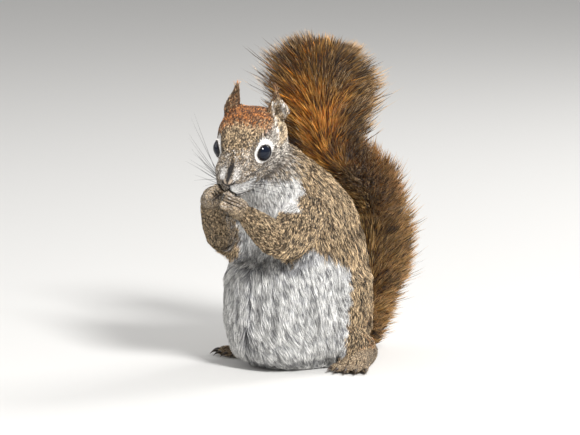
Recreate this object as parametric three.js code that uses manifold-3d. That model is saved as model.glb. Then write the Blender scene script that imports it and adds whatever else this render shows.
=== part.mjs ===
// A red squirrel sitting up with its forepaws at its mouth and its tail raised, at life size.
// Millimetres, +Z up. It faces -Y, its left side is toward +X, and it sits on the plane Z = 0.
// Most parts are lofts of rounded rings along a smooth spine, out to the tips of the coat.
import * as THREE from "three";
import { mergeVertices } from "three/addons/utils/BufferGeometryUtils.js";
import Module from "manifold-3d";

const wasm = await Module();
wasm.setup();

// Driving dimensions
const gap = 0.3; // left between neighbouring parts
const floorBlock = 400; // side of the block that trims what rests on the floor
const roundness = 0.88; // power of a ring's outline: 1 is an ellipse, less is squarer

const noseTip = [9, -60.7, 90.1];
const headYaw = THREE.MathUtils.degToRad(20); // turned to its left
const headPitch = THREE.MathUtils.degToRad(27); // nose down
const headRoll = THREE.MathUtils.degToRad(3); // crown to its left

const eyeRadius = 4.3;
const eyeCentre = { out: 9.9, back: 20.3, up: 4 };
const nosePad = { wide: 2.3, deep: 1.9, high: 1.7, back: 0.7, up: 0.5 };

const grips = { left: [6.4, -61, 82.3], right: [3.4, -61.2, 83.2] }; // where each hand closes
const fingers = 4;
const fingerPitch = 2.2;
const fingerRadius = 1.45;
const fingerBend = { ahead: 2.4, share: 0.28 }; // ahead of the knuckle, then toward the grip
const fingerTip = { ahead: 1, share: 0.72, closing: 0.25 }; // and in toward its neighbours
const handClaw = { length: 2, radius: 0.55 };

const toes = 5;
const toeLengths = [7.5, 10, 11, 10.5, 8]; // from the inner toe to the outer one
const toeRadius = 1.9;
const toeHeights = { root: 1.8, joint: 2.3, tip: 1.3 };
const toeJoint = 0.55; // of the toe's length
const toeFan = THREE.MathUtils.degToRad(9); // between neighbouring toes
const footClaw = { length: 3.2, radius: 0.75 };
const clawBow = 0.18; // of the claw's length

const fanTurn = THREE.MathUtils.degToRad(25); // the raised tail turns to its left
const fanTurnSpan = [0.5, 0.75]; // of the tail's length
const tailLengths = 5;

// Rings and lofts

// The point of a ring at an angle, for a half-size to each side, to the fore and to the aft.
function ringPoint(angle, size) {
  const across = Math.sign(Math.cos(angle)) * Math.abs(Math.cos(angle)) ** roundness;
  const ahead = Math.sign(Math.sin(angle)) * Math.abs(Math.sin(angle)) ** roundness;
  return [size.wide * across, (ahead > 0 ? size.fore : size.aft) * ahead];
}

// The share of its full size that a ring has where an end of the loft closes in a dome.
function dome(distance, depth) {
  return distance >= depth ? 1 : Math.sqrt(Math.max(0, 1 - (1 - distance / depth) ** 2));
}

// A closed loft through stations { at, wide, fore, aft }. front says which way fore points,
// round gives the depth of the dome at each end, and from and to take one length of it,
// cut flat where that isn't the loft's own end.
function loft(stations, options) {
  const { sides, rings, front, round, from = 0, to = 1, twist = () => 0, grow = 0 } = options;
  const spine = new THREE.CatmullRomCurve3(stations.map((s) => new THREE.Vector3(...s.at)));
  const sizes = stations.map((s) => new THREE.Vector3(s.wide, s.fore, s.aft ?? s.fore));
  const sizeCurve = new THREE.CatmullRomCurve3(sizes);
  const positions = [];
  for (let ring = 0; ring <= rings; ring += 1) {
    const t = from + ((to - from) * (1 - Math.cos((Math.PI * ring) / rings))) / 2;
    const tangent = spine.getTangent(t);
    const fore = new THREE.Vector3(...front);
    fore.addScaledVector(tangent, -fore.dot(tangent)).normalize();
    fore.applyAxisAngle(tangent, twist(t));
    const side = tangent.clone().cross(fore);
    const centre = spine.getPoint(t);
    const isEnd = ring === 0 || ring === rings;
    const isPole = t === 0 || t === 1;
    if (isEnd) {
      const cutInset = grow > 0 ? 0 : gap / 2;
      const inset = isPole ? -grow : cutInset;
      centre.addScaledVector(tangent, ring === 0 ? inset : -inset);
    }
    const full = sizeCurve.getPoint(t);
    const share = dome(t, round[0]) * dome(1 - t, round[1]);
    const size = {
      wide: isPole ? 0 : full.x * share + grow,
      fore: isPole ? 0 : full.y * share + grow,
      aft: isPole ? 0 : full.z * share + grow,
    };
    for (let k = 0; k < sides; k += 1) {
      const [across, ahead] = ringPoint((2 * Math.PI * k) / sides, size);
      const point = centre.clone().addScaledVector(side, across).addScaledVector(fore, ahead);
      positions.push(...point.toArray());
    }
    if (isEnd) {
      positions.push(...centre.toArray());
    }
  }
  return tubeGeometry(positions, sides, rings);
}

// The faces of a loft whose first and last rings are each followed by the ring's centre.
function tubeGeometry(positions, sides, rings) {
  const index = [];
  const start = (ring) => ring * sides + (ring > 0 ? 1 : 0);
  const lastCentre = start(rings) + sides;
  for (let k = 0; k < sides; k += 1) {
    const next = (k + 1) % sides;
    index.push(sides, start(0) + k, start(0) + next);
    index.push(lastCentre, start(rings) + next, start(rings) + k);
    for (let ring = 0; ring < rings; ring += 1) {
      const low = start(ring);
      const high = start(ring + 1);
      index.push(low + k, high + k, high + next);
      index.push(low + k, high + next, low + next);
    }
  }
  const geometry = new THREE.BufferGeometry();
  geometry.setAttribute("position", new THREE.Float32BufferAttribute(positions, 3));
  geometry.setIndex(index);
  return geometry;
}

// The point a share of the way from a to b, or past b where the share is more than one.
function pointAlong(a, b, share) {
  return new THREE.Vector3(...a).lerp(new THREE.Vector3(...b), share).toArray();
}

// Solids

function solidOf(geometry) {
  geometry.deleteAttribute("normal");
  geometry.deleteAttribute("uv");
  const merged = mergeVertices(geometry);
  const triangles = [];
  for (let i = 0; i < merged.index.count; i += 3) {
    const corners = [0, 1, 2].map((corner) => merged.index.getX(i + corner));
    if (new Set(corners).size === 3) {
      triangles.push(...corners);
    }
  }
  return new wasm.Manifold(
    new wasm.Mesh({
      numProp: 3,
      vertProperties: new Float32Array(merged.attributes.position.array),
      triVerts: new Uint32Array(triangles),
    }),
  );
}

function geometryOf(solid) {
  const mesh = solid.getMesh();
  const geometry = new THREE.BufferGeometry();
  geometry.setAttribute("position", new THREE.BufferAttribute(mesh.vertProperties, 3));
  geometry.setIndex(new THREE.BufferAttribute(mesh.triVerts, 1));
  geometry.computeVertexNormals();
  return geometry;
}

function joined(solids) {
  return solids.reduce((whole, piece) => whole.add(piece));
}

function largestPiece(solid) {
  const pieces = solid.decompose();
  return pieces.reduce((best, piece) => (piece.volume() > best.volume() ? piece : best));
}

// Trunk and neck: one loft from the seat to the base of the skull, parted in four.
const trunkStations = [
  { at: [0, 3, -4], wide: 22, fore: 30, aft: 30 },
  { at: [0, 1, 12], wide: 28, fore: 37, aft: 37 },
  { at: [0, -1, 27], wide: 30, fore: 38.5, aft: 37 },
  { at: [0, -1.5, 44], wide: 29.5, fore: 36.5, aft: 35.5 },
  { at: [0, -3, 60], wide: 27, fore: 32, aft: 33 },
  { at: [-1, -10, 74], wide: 24.5, fore: 24, aft: 26 },
  { at: [-2.5, -19, 86], wide: 21.5, fore: 19, aft: 20 },
  { at: [-3, -26, 97], wide: 18.5, fore: 17, aft: 16 },
  { at: [-2, -31, 106], wide: 14, fore: 12, aft: 12 },
];
const trunkCuts = { rump: [0, 0.27], abdomen: [0.27, 0.5], chest: [0.5, 0.77], neck: [0.77, 1] };

function trunkLength(name, grow) {
  const [from, to] = trunkCuts[name];
  const options = { sides: 20, rings: 4, front: [0, -1, 0], round: [0.1, 0.12], from, to, grow };
  return solidOf(loft(trunkStations, options));
}

// Tail: up behind the back, forward over the shoulders, then up again into a fan.
const tailStations = [
  { at: [0, 40, 1], wide: 10, fore: 7 },
  { at: [0, 44, 11], wide: 13.5, fore: 9 },
  { at: [1, 48, 26], wide: 17, fore: 11 },
  { at: [2, 50, 45], wide: 22, fore: 12 },
  { at: [3, 48, 64], wide: 23.5, fore: 13 },
  { at: [4, 39, 82], wide: 22.5, fore: 12.5 },
  { at: [4, 27, 92.5], wide: 20, fore: 12 },
  { at: [3, 16, 101], wide: 20, fore: 12 },
  { at: [2, 12, 116], wide: 24, fore: 14 },
  { at: [2.5, 12, 132], wide: 29, fore: 14 },
  { at: [4, 13, 145], wide: 25, fore: 12 },
  { at: [5, 14, 155], wide: 16, fore: 8 },
];

function tailLength(part, grow) {
  const options = {
    sides: 16,
    rings: 5,
    front: [0, -1, 0.01],
    round: [0.07, 0.14],
    from: part / tailLengths,
    to: (part + 1) / tailLengths,
    twist: (t) => fanTurn * THREE.MathUtils.smoothstep(t, ...fanTurnSpan),
    grow,
  };
  return solidOf(loft(tailStations, options));
}

// Head: back, out and up are measured from the tip of the nose, along the skull.
const headMatrix = new THREE.Matrix4()
  .makeTranslation(...noseTip)
  .multiply(new THREE.Matrix4().makeRotationZ(headYaw))
  .multiply(new THREE.Matrix4().makeRotationX(headPitch))
  .multiply(new THREE.Matrix4().makeRotationY(headRoll));

const headStations = [
  { at: [0, 0.2, -0.6], wide: 4, fore: 3, aft: 5.2 },
  { at: [0, 4, -1], wide: 7.1, fore: 4.6, aft: 9 },
  { at: [0, 9, -1], wide: 9.2, fore: 6.8, aft: 11.7 },
  { at: [0, 14, -0.2], wide: 10.8, fore: 9.4, aft: 13 },
  { at: [0, 20, 1.2], wide: 12.3, fore: 12.2, aft: 13.5 },
  { at: [0, 27, 1.5], wide: 14.8, fore: 14.8, aft: 15 },
  { at: [0, 34, 0.8], wide: 15.8, fore: 15.2, aft: 15.2 },
  { at: [0, 40, -0.8], wide: 15.4, fore: 14.2, aft: 14.5 },
  { at: [0, 46, -3], wide: 13.8, fore: 12, aft: 12.5 },
  { at: [0, 51, -5], wide: 11.5, fore: 9.5, aft: 10 },
];

function head(grow) {
  const options = { sides: 20, rings: 14, front: [0, 0, 1], round: [0.07, 0.24], grow };
  return solidOf(loft(headStations, options).applyMatrix4(headMatrix));
}

function eye(side, grow) {
  const ball = new THREE.SphereGeometry(eyeRadius + grow, 12, 8);
  ball.translate(side * eyeCentre.out, eyeCentre.back, eyeCentre.up);
  return solidOf(ball.applyMatrix4(headMatrix));
}

function nose(grow) {
  const pad = new THREE.SphereGeometry(1, 8, 6);
  pad.scale(nosePad.wide + grow, nosePad.deep + grow, nosePad.high + grow);
  pad.translate(0, nosePad.back, nosePad.up);
  return solidOf(pad.applyMatrix4(headMatrix));
}

// Ears: a leaf with a tufted point, hollowed on the side it faces by a smaller one.
const ears = {
  left: {
    base: [12, 38, 6.5],
    middle: [12.5, 38.5, 15],
    point: [11.7, 42, 28.5],
    facing: [0.45, -0.88, 0.1],
  },
  right: {
    base: [-10, 39, 7.5],
    middle: [-9.4, 40, 16.5],
    point: [-5.6, 42, 28.5],
    facing: [-0.93, 0.2, 0.05],
  },
};
const hollowAhead = 2.4; // from the middle of the ear's thickness to the hollow's own

function ear(name) {
  const { base, middle, point, facing } = ears[name];
  const leaf = [
    { at: base, wide: 5, fore: 2.8, aft: 2.4 },
    { at: middle, wide: 6, fore: 2.2, aft: 2.2 },
    { at: pointAlong(middle, point, 0.5), wide: 4.2, fore: 1.5, aft: 1.6 },
    { at: point, wide: 0.9, fore: 0.8 },
  ];
  const ahead = new THREE.Vector3(...facing).setLength(hollowAhead);
  const moved = (at) => ahead.clone().add(new THREE.Vector3(...at)).toArray();
  const hollow = [
    { at: moved(pointAlong(base, middle, 0.35)), wide: 2.6, fore: 2, aft: 1.6 },
    { at: moved(middle), wide: 4.1, fore: 3, aft: 2.8 },
    { at: moved(pointAlong(middle, point, 0.5)), wide: 1.6, fore: 1.6, aft: 1.2 },
  ];
  const whole = loft(leaf, { sides: 12, rings: 8, front: facing, round: [0.2, 0.12] });
  const scoop = loft(hollow, { sides: 8, rings: 5, front: facing, round: [0.35, 0.35] });
  return solidOf(whole.applyMatrix4(headMatrix)).subtract(solidOf(scoop.applyMatrix4(headMatrix)));
}

// Arms: from the shoulder past the elbow to a hand held at the mouth.
const arms = {
  left: {
    shoulder: [18, -17, 73.5],
    upper: [20.5, -27, 66.5],
    elbow: [21, -38, 60],
    wrist: [12.4, -52, 75],
    knuckles: [9.2, -58.5, 80.5],
  },
  right: {
    shoulder: [-19, -17, 76],
    upper: [-21, -24, 68],
    elbow: [-18, -32, 58],
    wrist: [-7.5, -54, 77.5],
    knuckles: [-1, -60.5, 84.5],
  },
};

function upperArm(name, grow) {
  const { shoulder, upper, elbow } = arms[name];
  const stations = [
    { at: pointAlong(upper, shoulder, 2.1), wide: 8, fore: 8 },
    { at: shoulder, wide: 10, fore: 11 },
    { at: upper, wide: 10, fore: 11 },
    { at: pointAlong(upper, elbow, 0.7), wide: 9.6, fore: 10.6 },
    { at: pointAlong(upper, elbow, 1.55), wide: 8, fore: 8.5 },
  ];
  const options = { sides: 14, rings: 6, front: [0, -1, 0], round: [0.28, 0.32], grow };
  return solidOf(loft(stations, options));
}

function forearm(name, grow) {
  const { elbow, wrist } = arms[name];
  const stations = [
    { at: pointAlong(wrist, elbow, 1.15), wide: 8.5, fore: 8.5 },
    { at: pointAlong(wrist, elbow, 0.75), wide: 8.2, fore: 8.2 },
    { at: pointAlong(wrist, elbow, 0.35), wide: 6.9, fore: 6.6 },
    { at: wrist, wide: 5.2, fore: 4.8 },
    { at: pointAlong(elbow, wrist, 1.1), wide: 4.5, fore: 4.2 },
  ];
  const options = { sides: 12, rings: 7, front: [0, -1, 0], round: [0.3, 0.2], grow };
  return solidOf(loft(stations, options));
}

// A finger's knuckle, its bend and its tip, with the fingers side by side across the hand.
function fingerLine(name, finger) {
  const { wrist, knuckles } = arms[name];
  const hand = new THREE.Vector3(...knuckles).sub(new THREE.Vector3(...wrist)).normalize();
  const reach = new THREE.Vector3(...grips[name]).sub(new THREE.Vector3(...knuckles));
  const across = hand.clone().cross(reach).normalize();
  const offset = (finger - (fingers - 1) / 2) * fingerPitch;
  const knuckle = new THREE.Vector3(...knuckles).addScaledVector(across, offset);
  const onward = ({ ahead, share }) =>
    knuckle.clone().addScaledVector(hand, ahead).addScaledVector(reach, share);
  const tip = onward(fingerTip).addScaledVector(across, -offset * fingerTip.closing);
  return { knuckle, bend: onward(fingerBend), tip };
}

function hand(name, grow) {
  const { wrist, knuckles } = arms[name];
  const palm = [
    { at: pointAlong(knuckles, wrist, 0.95), wide: 3.6, fore: 3.4 },
    { at: pointAlong(wrist, knuckles, 0.55), wide: 4.6, fore: 4 },
    { at: pointAlong(wrist, knuckles, 1.25), wide: 4.2, fore: 3 },
  ];
  const palmOptions = { sides: 8, rings: 5, front: [0, -0.6, 0.8], round: [0.3, 0.35], grow };
  const fingerOptions = { sides: 6, rings: 4, front: [0.2, 0.1, 1], round: [0.2, 0.25], grow };
  const digits = Array.from({ length: fingers }, (_, finger) => {
    const { knuckle, bend, tip } = fingerLine(name, finger);
    const stations = [
      { at: knuckle.toArray(), wide: fingerRadius * 1.1, fore: fingerRadius * 1.1 },
      { at: bend.toArray(), wide: fingerRadius, fore: fingerRadius },
      { at: tip.toArray(), wide: fingerRadius * 0.8, fore: fingerRadius * 0.8 },
    ];
    return solidOf(loft(stations, fingerOptions));
  });
  return joined([solidOf(loft(palm, palmOptions)), ...digits]);
}

// Hind legs: thigh, shank and foot, given for the left side and mirrored for the right.
const thighStations = [
  { at: [11, 28, 36], wide: 8.5, fore: 12 },
  { at: [15.5, 20, 35], wide: 10.5, fore: 18 },
  { at: [20, 10.5, 31], wide: 11.3, fore: 21, aft: 20 },
  { at: [23, 0, 27], wide: 11, fore: 18, aft: 17 },
  { at: [25, -9, 23], wide: 9, fore: 13, aft: 12 },
];
const shankStations = [
  { at: [26, -8, 15], wide: 6.5, fore: 7 },
  { at: [26, 2, 12], wide: 7.5, fore: 8 },
  { at: [23.5, 14, 9], wide: 6.5, fore: 7 },
  { at: [21, 25, 7], wide: 5, fore: 5 },
];
const footStations = [
  { at: [20, 28, 4], wide: 4.4, fore: 4.4, aft: 5 },
  { at: [24, 17, 4.4], wide: 5.8, fore: 5.6, aft: 6 },
  { at: [29, 6, 4.2], wide: 6.8, fore: 5.4, aft: 6 },
  { at: [33, -2, 3.2], wide: 7.2, fore: 4, aft: 5 },
  { at: [35, -6, 2.4], wide: 6.6, fore: 2.8, aft: 4 },
];
const toeRow = { middle: [33.4, -3, 2], pitch: 3 }; // roots of the toes, across the foot

function mirrored(stations, side) {
  return stations.map((s) => ({ ...s, at: [side * s.at[0], s.at[1], s.at[2]] }));
}

function thigh(side, grow) {
  const options = { sides: 16, rings: 7, front: [0, 0, 1], round: [0.35, 0.35], grow };
  return solidOf(loft(mirrored(thighStations, side), options));
}

function shank(side, grow) {
  const options = { sides: 10, rings: 6, front: [0, 0, 1], round: [0.25, 0.25], grow };
  return solidOf(loft(mirrored(shankStations, side), options));
}

// A toe's root, its joint and its tip, all on the floor.
function toeLine(side, toe) {
  const heel = new THREE.Vector2(footStations[0].at[0], footStations[0].at[1]);
  const forward = new THREE.Vector2(toeRow.middle[0], toeRow.middle[1]).sub(heel).normalize();
  const step = toe - (toes - 1) / 2;
  const outward = new THREE.Vector2(-forward.y, forward.x);
  const heading = forward.clone().rotateAround(new THREE.Vector2(), toeFan * step);
  const place = (reach, height) => {
    const x = toeRow.middle[0] + outward.x * toeRow.pitch * step + heading.x * reach;
    const y = toeRow.middle[1] + outward.y * toeRow.pitch * step + heading.y * reach;
    return [side * x, y, height];
  };
  const length = toeLengths[toe];
  const root = place(-1, toeHeights.root);
  const joint = place(length * toeJoint, toeHeights.joint);
  const tip = place(length, toeHeights.tip);
  return { root, joint, tip, heading };
}

function foot(side, grow) {
  const footOptions = { sides: 12, rings: 6, front: [0, 0, 1], round: [0.15, 0.15], grow };
  const toeOptions = { sides: 6, rings: 4, front: [0, 0, 1], round: [0.2, 0.2], grow };
  const digits = Array.from({ length: toes }, (_, toe) => {
    const { root, joint, tip } = toeLine(side, toe);
    const stations = [
      { at: root, wide: toeRadius, fore: toeRadius },
      { at: joint, wide: toeRadius * 0.9, fore: toeRadius * 0.9 },
      { at: tip, wide: toeRadius * 0.7, fore: toeRadius * 0.7 },
    ];
    return solidOf(loft(stations, toeOptions));
  });
  return joined([solidOf(loft(mirrored(footStations, side), footOptions)), ...digits]);
}

// A claw curves down from the tip of its digit to a point.
function claw(root, heading, down, size) {
  const bow = size.length * clawBow;
  const station = (reach, drop, wide, fore) => {
    const at = root.clone().addScaledVector(heading, reach).addScaledVector(down, drop).toArray();
    return { at, wide: size.radius * wide, fore: size.radius * fore };
  };
  const stations = [
    station(gap, 0, 0.8, 1),
    station(size.length / 2, -bow, 0.6, 0.85),
    station(size.length, bow, 0.25, 0.3),
  ];
  const front = down.clone().negate().toArray();
  return solidOf(loft(stations, { sides: 6, rings: 4, front, round: [0.15, 0.1] }));
}

function fingerClaw(name, finger) {
  const { bend, tip } = fingerLine(name, finger);
  const heading = tip.clone().sub(bend).normalize();
  const { wrist, knuckles } = arms[name];
  const down = new THREE.Vector3(...wrist).sub(new THREE.Vector3(...knuckles)).normalize();
  down.addScaledVector(heading, -down.dot(heading)).normalize();
  return claw(tip, heading, down, handClaw);
}

function toeClaw(side, toe) {
  const { tip, heading } = toeLine(side, toe);
  const ahead = new THREE.Vector3(side * heading.x, heading.y, 0);
  return claw(new THREE.Vector3(...tip), ahead, new THREE.Vector3(0, 0, -1), footClaw);
}

function floorSolid() {
  const block = new THREE.BoxGeometry(floorBlock, floorBlock, floorBlock);
  return solidOf(block.translate(0, 0, -floorBlock / 2));
}

// Assembly: a part is trimmed by the grown shapes of the parts that come before it.
const shapes = {
  nose: (grow) => nose(grow),
  head: (grow) => head(grow),
  floor: () => floorSolid(),
};
for (const name of Object.keys(trunkCuts)) {
  shapes[name] = (grow) => trunkLength(name, grow);
}
for (const [name, side] of [["left", 1], ["right", -1]]) {
  shapes[`eye_${name}`] = (grow) => eye(side, grow);
  shapes[`ear_${name}`] = () => ear(name);
  shapes[`upper_arm_${name}`] = (grow) => upperArm(name, grow);
  shapes[`forearm_${name}`] = (grow) => forearm(name, grow);
  shapes[`hand_${name}`] = (grow) => hand(name, grow);
  shapes[`thigh_${name}`] = (grow) => thigh(side, grow);
  shapes[`shank_${name}`] = (grow) => shank(side, grow);
  shapes[`foot_${name}`] = (grow) => foot(side, grow);
  for (let finger = 0; finger < fingers; finger += 1) {
    shapes[`claw_hand_${name}_${finger + 1}`] = () => fingerClaw(name, finger);
  }
  for (let toe = 0; toe < toes; toe += 1) {
    shapes[`claw_foot_${name}_${toe + 1}`] = () => toeClaw(side, toe);
  }
}
for (let part = 0; part < tailLengths; part += 1) {
  shapes[`tail_${part + 1}`] = (grow) => tailLength(part, grow);
}

const looks = {
  coat: { color: 0x7d6444, roughness: 0.9 },
  belly: { color: 0xe4dfd6, roughness: 0.9 },
  tail: { color: 0x9a5a2c, roughness: 0.9 },
  paw: { color: 0xa18355, roughness: 0.85 },
  eye: { color: 0x0c0908, roughness: 0.08 },
  nose: { color: 0x3a2b28, roughness: 0.45 },
  claw: { color: 0x2c2420, roughness: 0.4 },
};

const squirrel = new THREE.Group();

function add(name, look, trimmedBy) {
  const whole = shapes[name](0);
  const shape = trimmedBy.reduce((solid, other) => solid.subtract(shapes[other](gap)), whole);
  const material = new THREE.MeshStandardMaterial({ ...looks[look], metalness: 0 });
  const mesh = new THREE.Mesh(geometryOf(largestPiece(shape)), material);
  mesh.name = name;
  squirrel.add(mesh);
}

add("nose", "nose", []);
add("eye_left", "eye", []);
add("eye_right", "eye", []);
add("head", "coat", ["nose", "eye_left", "eye_right"]);
add("ear_left", "coat", ["head"]);
add("ear_right", "coat", ["head"]);
add("neck", "coat", ["head", "upper_arm_left", "upper_arm_right"]);
add("chest", "belly", [
  "upper_arm_left", "upper_arm_right", "forearm_left", "forearm_right", "thigh_left", "thigh_right",
]);
add("abdomen", "belly", ["upper_arm_left", "upper_arm_right", "thigh_left", "thigh_right"]);
add("rump", "belly", [
  "thigh_left", "thigh_right", "shank_left", "shank_right", "foot_left", "foot_right", "floor",
]);
for (const name of ["left", "right"]) {
  add(`upper_arm_${name}`, "coat", ["head"]);
  add(`forearm_${name}`, "coat", [`upper_arm_${name}`, "head"]);
  const handNeighbours = name === "left" ? ["hand_right"] : [];
  add(`hand_${name}`, "paw", [`forearm_${name}`, "head", ...handNeighbours]);
  add(`thigh_${name}`, "coat", []);
  add(`shank_${name}`, "coat", [`thigh_${name}`, "floor"]);
  add(`foot_${name}`, "paw", [`shank_${name}`, `thigh_${name}`, "floor"]);
  for (let finger = 1; finger <= fingers; finger += 1) {
    add(`claw_hand_${name}_${finger}`, "claw", []);
  }
  for (let toe = 1; toe <= toes; toe += 1) {
    add(`claw_foot_${name}_${toe}`, "claw", []);
  }
}
for (let part = 1; part <= tailLengths; part += 1) {
  add(`tail_${part}`, "tail", ["rump", "abdomen", "chest", "neck", "thigh_left", "thigh_right"]);
}

// The origin is the middle of the base of the whole animal's box.
const box = new THREE.Box3().setFromObject(squirrel);
const middle = box.getCenter(new THREE.Vector3());
squirrel.position.set(-middle.x, -middle.y, 0);

export default squirrel;
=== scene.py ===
import math

import bmesh
import bpy
import numpy as np
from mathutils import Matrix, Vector
from mathutils.bvhtree import BVHTree


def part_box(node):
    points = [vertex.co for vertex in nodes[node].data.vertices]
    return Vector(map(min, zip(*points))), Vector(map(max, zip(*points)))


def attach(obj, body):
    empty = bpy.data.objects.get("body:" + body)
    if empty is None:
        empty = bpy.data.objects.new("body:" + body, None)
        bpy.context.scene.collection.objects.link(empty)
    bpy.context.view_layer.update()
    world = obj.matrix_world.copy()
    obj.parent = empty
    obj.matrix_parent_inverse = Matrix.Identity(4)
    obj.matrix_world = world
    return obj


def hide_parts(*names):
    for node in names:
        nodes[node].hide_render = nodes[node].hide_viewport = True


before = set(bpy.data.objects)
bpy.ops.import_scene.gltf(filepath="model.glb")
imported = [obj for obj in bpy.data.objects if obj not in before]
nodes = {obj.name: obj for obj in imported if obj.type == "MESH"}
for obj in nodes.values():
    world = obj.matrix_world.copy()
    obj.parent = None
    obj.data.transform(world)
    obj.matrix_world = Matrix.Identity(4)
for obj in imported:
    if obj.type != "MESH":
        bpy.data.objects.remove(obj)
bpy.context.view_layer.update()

# A red squirrel sitting up with its forepaws at its mouth, life size. Lengths in the dictionaries are in mm.
mm = 0.001
bothSides = ("left", "right")
eyeNodes = [f"eye_{side}" for side in bothSides]
tailNodes = [f"tail_{part}" for part in range(1, 6)]
clawNodes = sorted(name for name in nodes if name.startswith("claw_"))
fleshNodes = sorted(set(nodes) - set(eyeNodes) - set(tailNodes) - set(clawNodes) - {"nose"})
skinNodes = fleshNodes + eyeNodes + ["nose"]  # the solids that the skin is made from


# small helpers on rows of points

def unit(rows):
    rows = np.asarray(rows, float)
    return rows / np.maximum(np.linalg.norm(rows, axis=-1, keepdims=True), 1e-12)


def ramp(values, low, high):  # 0 below low, 1 above high, smooth between
    t = np.clip((values - low) / (high - low), 0, 1)
    return t * t * (3 - 2 * t)


def hump(values, middle, width):  # 1 at the middle, falling off on both sides
    return np.exp(-((values - middle) / width) ** 2)


def boxMiddle(name):
    low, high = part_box(name)
    return (np.array(low) + np.array(high)) / 2


def readPoints(mesh):
    points = np.empty(len(mesh.vertices) * 3)
    mesh.vertices.foreach_get("co", points)
    return points.reshape(-1, 3)


def writePoints(mesh, points):
    mesh.vertices.foreach_set("co", np.ascontiguousarray(points, dtype=np.float32).ravel())
    mesh.update()


def readEdges(mesh):
    edges = np.empty(len(mesh.edges) * 2, dtype=np.int64)
    mesh.edges.foreach_get("vertices", edges)
    return edges.reshape(-1, 2)


def readTriangles(mesh):
    mesh.calc_loop_triangles()
    corners = np.empty(len(mesh.loop_triangles) * 3, dtype=np.int64)
    mesh.loop_triangles.foreach_get("vertices", corners)
    return corners.reshape(-1, 3)


def pointNormals(points, triangles):
    a, b, c = (points[triangles[:, k]] for k in range(3))
    faceNormals = np.cross(b - a, c - a)
    total = np.zeros_like(points)
    for k in range(3):
        for axis in range(3):
            total[:, axis] += np.bincount(triangles[:, k], faceNormals[:, axis], len(points))
    return unit(total)


def spread(values, edges, times, share=0.5):  # blurs values over a mesh, along its edges
    values = np.array(values, float)
    flat = values.reshape(len(values), -1)
    count = np.bincount(edges.ravel(), minlength=len(flat)).clip(1)[:, None]
    share = np.broadcast_to(np.asarray(share, float).reshape(-1, 1), (len(flat), 1))
    for _ in range(times):
        total = np.empty_like(flat)
        for column in range(flat.shape[1]):
            ahead = np.bincount(edges[:, 0], flat[edges[:, 1], column], len(flat))
            total[:, column] = ahead + np.bincount(edges[:, 1], flat[edges[:, 0], column], len(flat))
        flat = flat + share * (total / count - flat)
    return flat.reshape(values.shape)


def makeMesh(name, points, faces, smooth=True):  # faces is one array of triangles or quads
    mesh = bpy.data.meshes.new(name)
    mesh.vertices.add(len(points))
    mesh.vertices.foreach_set("co", np.ascontiguousarray(points, dtype=np.float32).ravel())
    sides = faces.shape[1]
    mesh.loops.add(faces.size)
    mesh.loops.foreach_set("vertex_index", np.ascontiguousarray(faces, dtype=np.int32).ravel())
    mesh.polygons.add(len(faces))
    mesh.polygons.foreach_set("loop_start", np.arange(0, faces.size, sides, dtype=np.int32))
    mesh.polygons.foreach_set("use_smooth", np.full(len(faces), smooth))
    mesh.update(calc_edges=True)
    return mesh


def shadeSmooth(mesh):
    mesh.polygons.foreach_set("use_smooth", np.ones(len(mesh.polygons), dtype=bool))


def ballMesh(name, around, rings):  # a ball of radius 1, to be shaped
    shape = bmesh.new()
    bmesh.ops.create_uvsphere(shape, u_segments=around, v_segments=rings, radius=1)
    mesh = bpy.data.meshes.new(name)
    shape.to_mesh(mesh)
    shape.free()
    shadeSmooth(mesh)
    return mesh


def addObject(name, mesh, material=None):
    thing = bpy.data.objects.new(name, mesh)
    bpy.context.scene.collection.objects.link(thing)
    if material:
        mesh.materials.append(material)
    return thing


def storeValues(mesh, name, values):
    layer = mesh.attributes.new(name, "FLOAT", "POINT")
    layer.data.foreach_set("value", np.ascontiguousarray(values, dtype=np.float32))


# places on the head are measured from the nose: out to the animal's left, back and up

headPlaces = {"eyeBack": 19.6, "eyeUp": 3.7}


def headAxes():
    left, right = boxMiddle("eye_left"), boxMiddle("eye_right")
    out = unit(left - right)
    toEyes = (left + right) / 2 - boxMiddle("nose")
    toEyes = unit(toEyes - out * (toEyes @ out))
    rise = math.atan2(headPlaces["eyeUp"], headPlaces["eyeBack"])
    square = np.cross(out, toEyes)
    back = toEyes * math.cos(rise) - square * math.sin(rise)
    return np.array([out, back, np.cross(out, back)])


headFrame = headAxes()
noseMiddle = boxMiddle("nose")


def toHead(points):
    return (points - noseMiddle) @ headFrame.T / mm


def fromHead(places):
    return np.asarray(places) @ headFrame * mm + noseMiddle


# the tail's middle line, through the middles of its lengths and of the cuts between them

tailLook = {
    "coreRadius": (3.4, 1.6),  # at the root and at the tip
    "coreEnd": 0.9,  # share of the line that has a core
    "coreStart": 7, "coreEvery": 6,  # steps of the line where the core leaves the rump, and between its points
    "insideRump": ((0, 20, 18), (0, 33, 11)),  # where the core starts
    "rootSlice": 2,  # the root's middle is taken over this height
    "cutGap": 0.6,  # two lengths face each other where they are nearer than this
    "median": 4, "outlier": (0.6, 1.2),  # a reach that leaves its neighbours' median this far takes its place
    "lineSteps": 96,
    "aroundSteps": 32,
}


def curveThrough(points, steps):  # a smooth line with even steps
    points = np.asarray(points, float)
    padded = np.vstack([2 * points[0] - points[1], points, 2 * points[-1] - points[-2]])
    t = np.linspace(0, 1, 12, endpoint=False)[:, None]
    spans = []
    for a, b, c, d in zip(padded, padded[1:], padded[2:], padded[3:]):
        bend = (2 * a - 5 * b + 4 * c - d) * t**2 + (3 * b - a - 3 * c + d) * t**3
        spans.append((2 * b + (c - a) * t + bend) / 2)
    dense = np.vstack([*spans, points[-1:]])
    travelled = np.append(0, np.cumsum(np.linalg.norm(np.diff(dense, axis=0), axis=1)))
    wanted = np.linspace(0, travelled[-1], steps)
    return np.stack([np.interp(wanted, travelled, dense[:, axis]) for axis in range(3)], axis=1)


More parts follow.
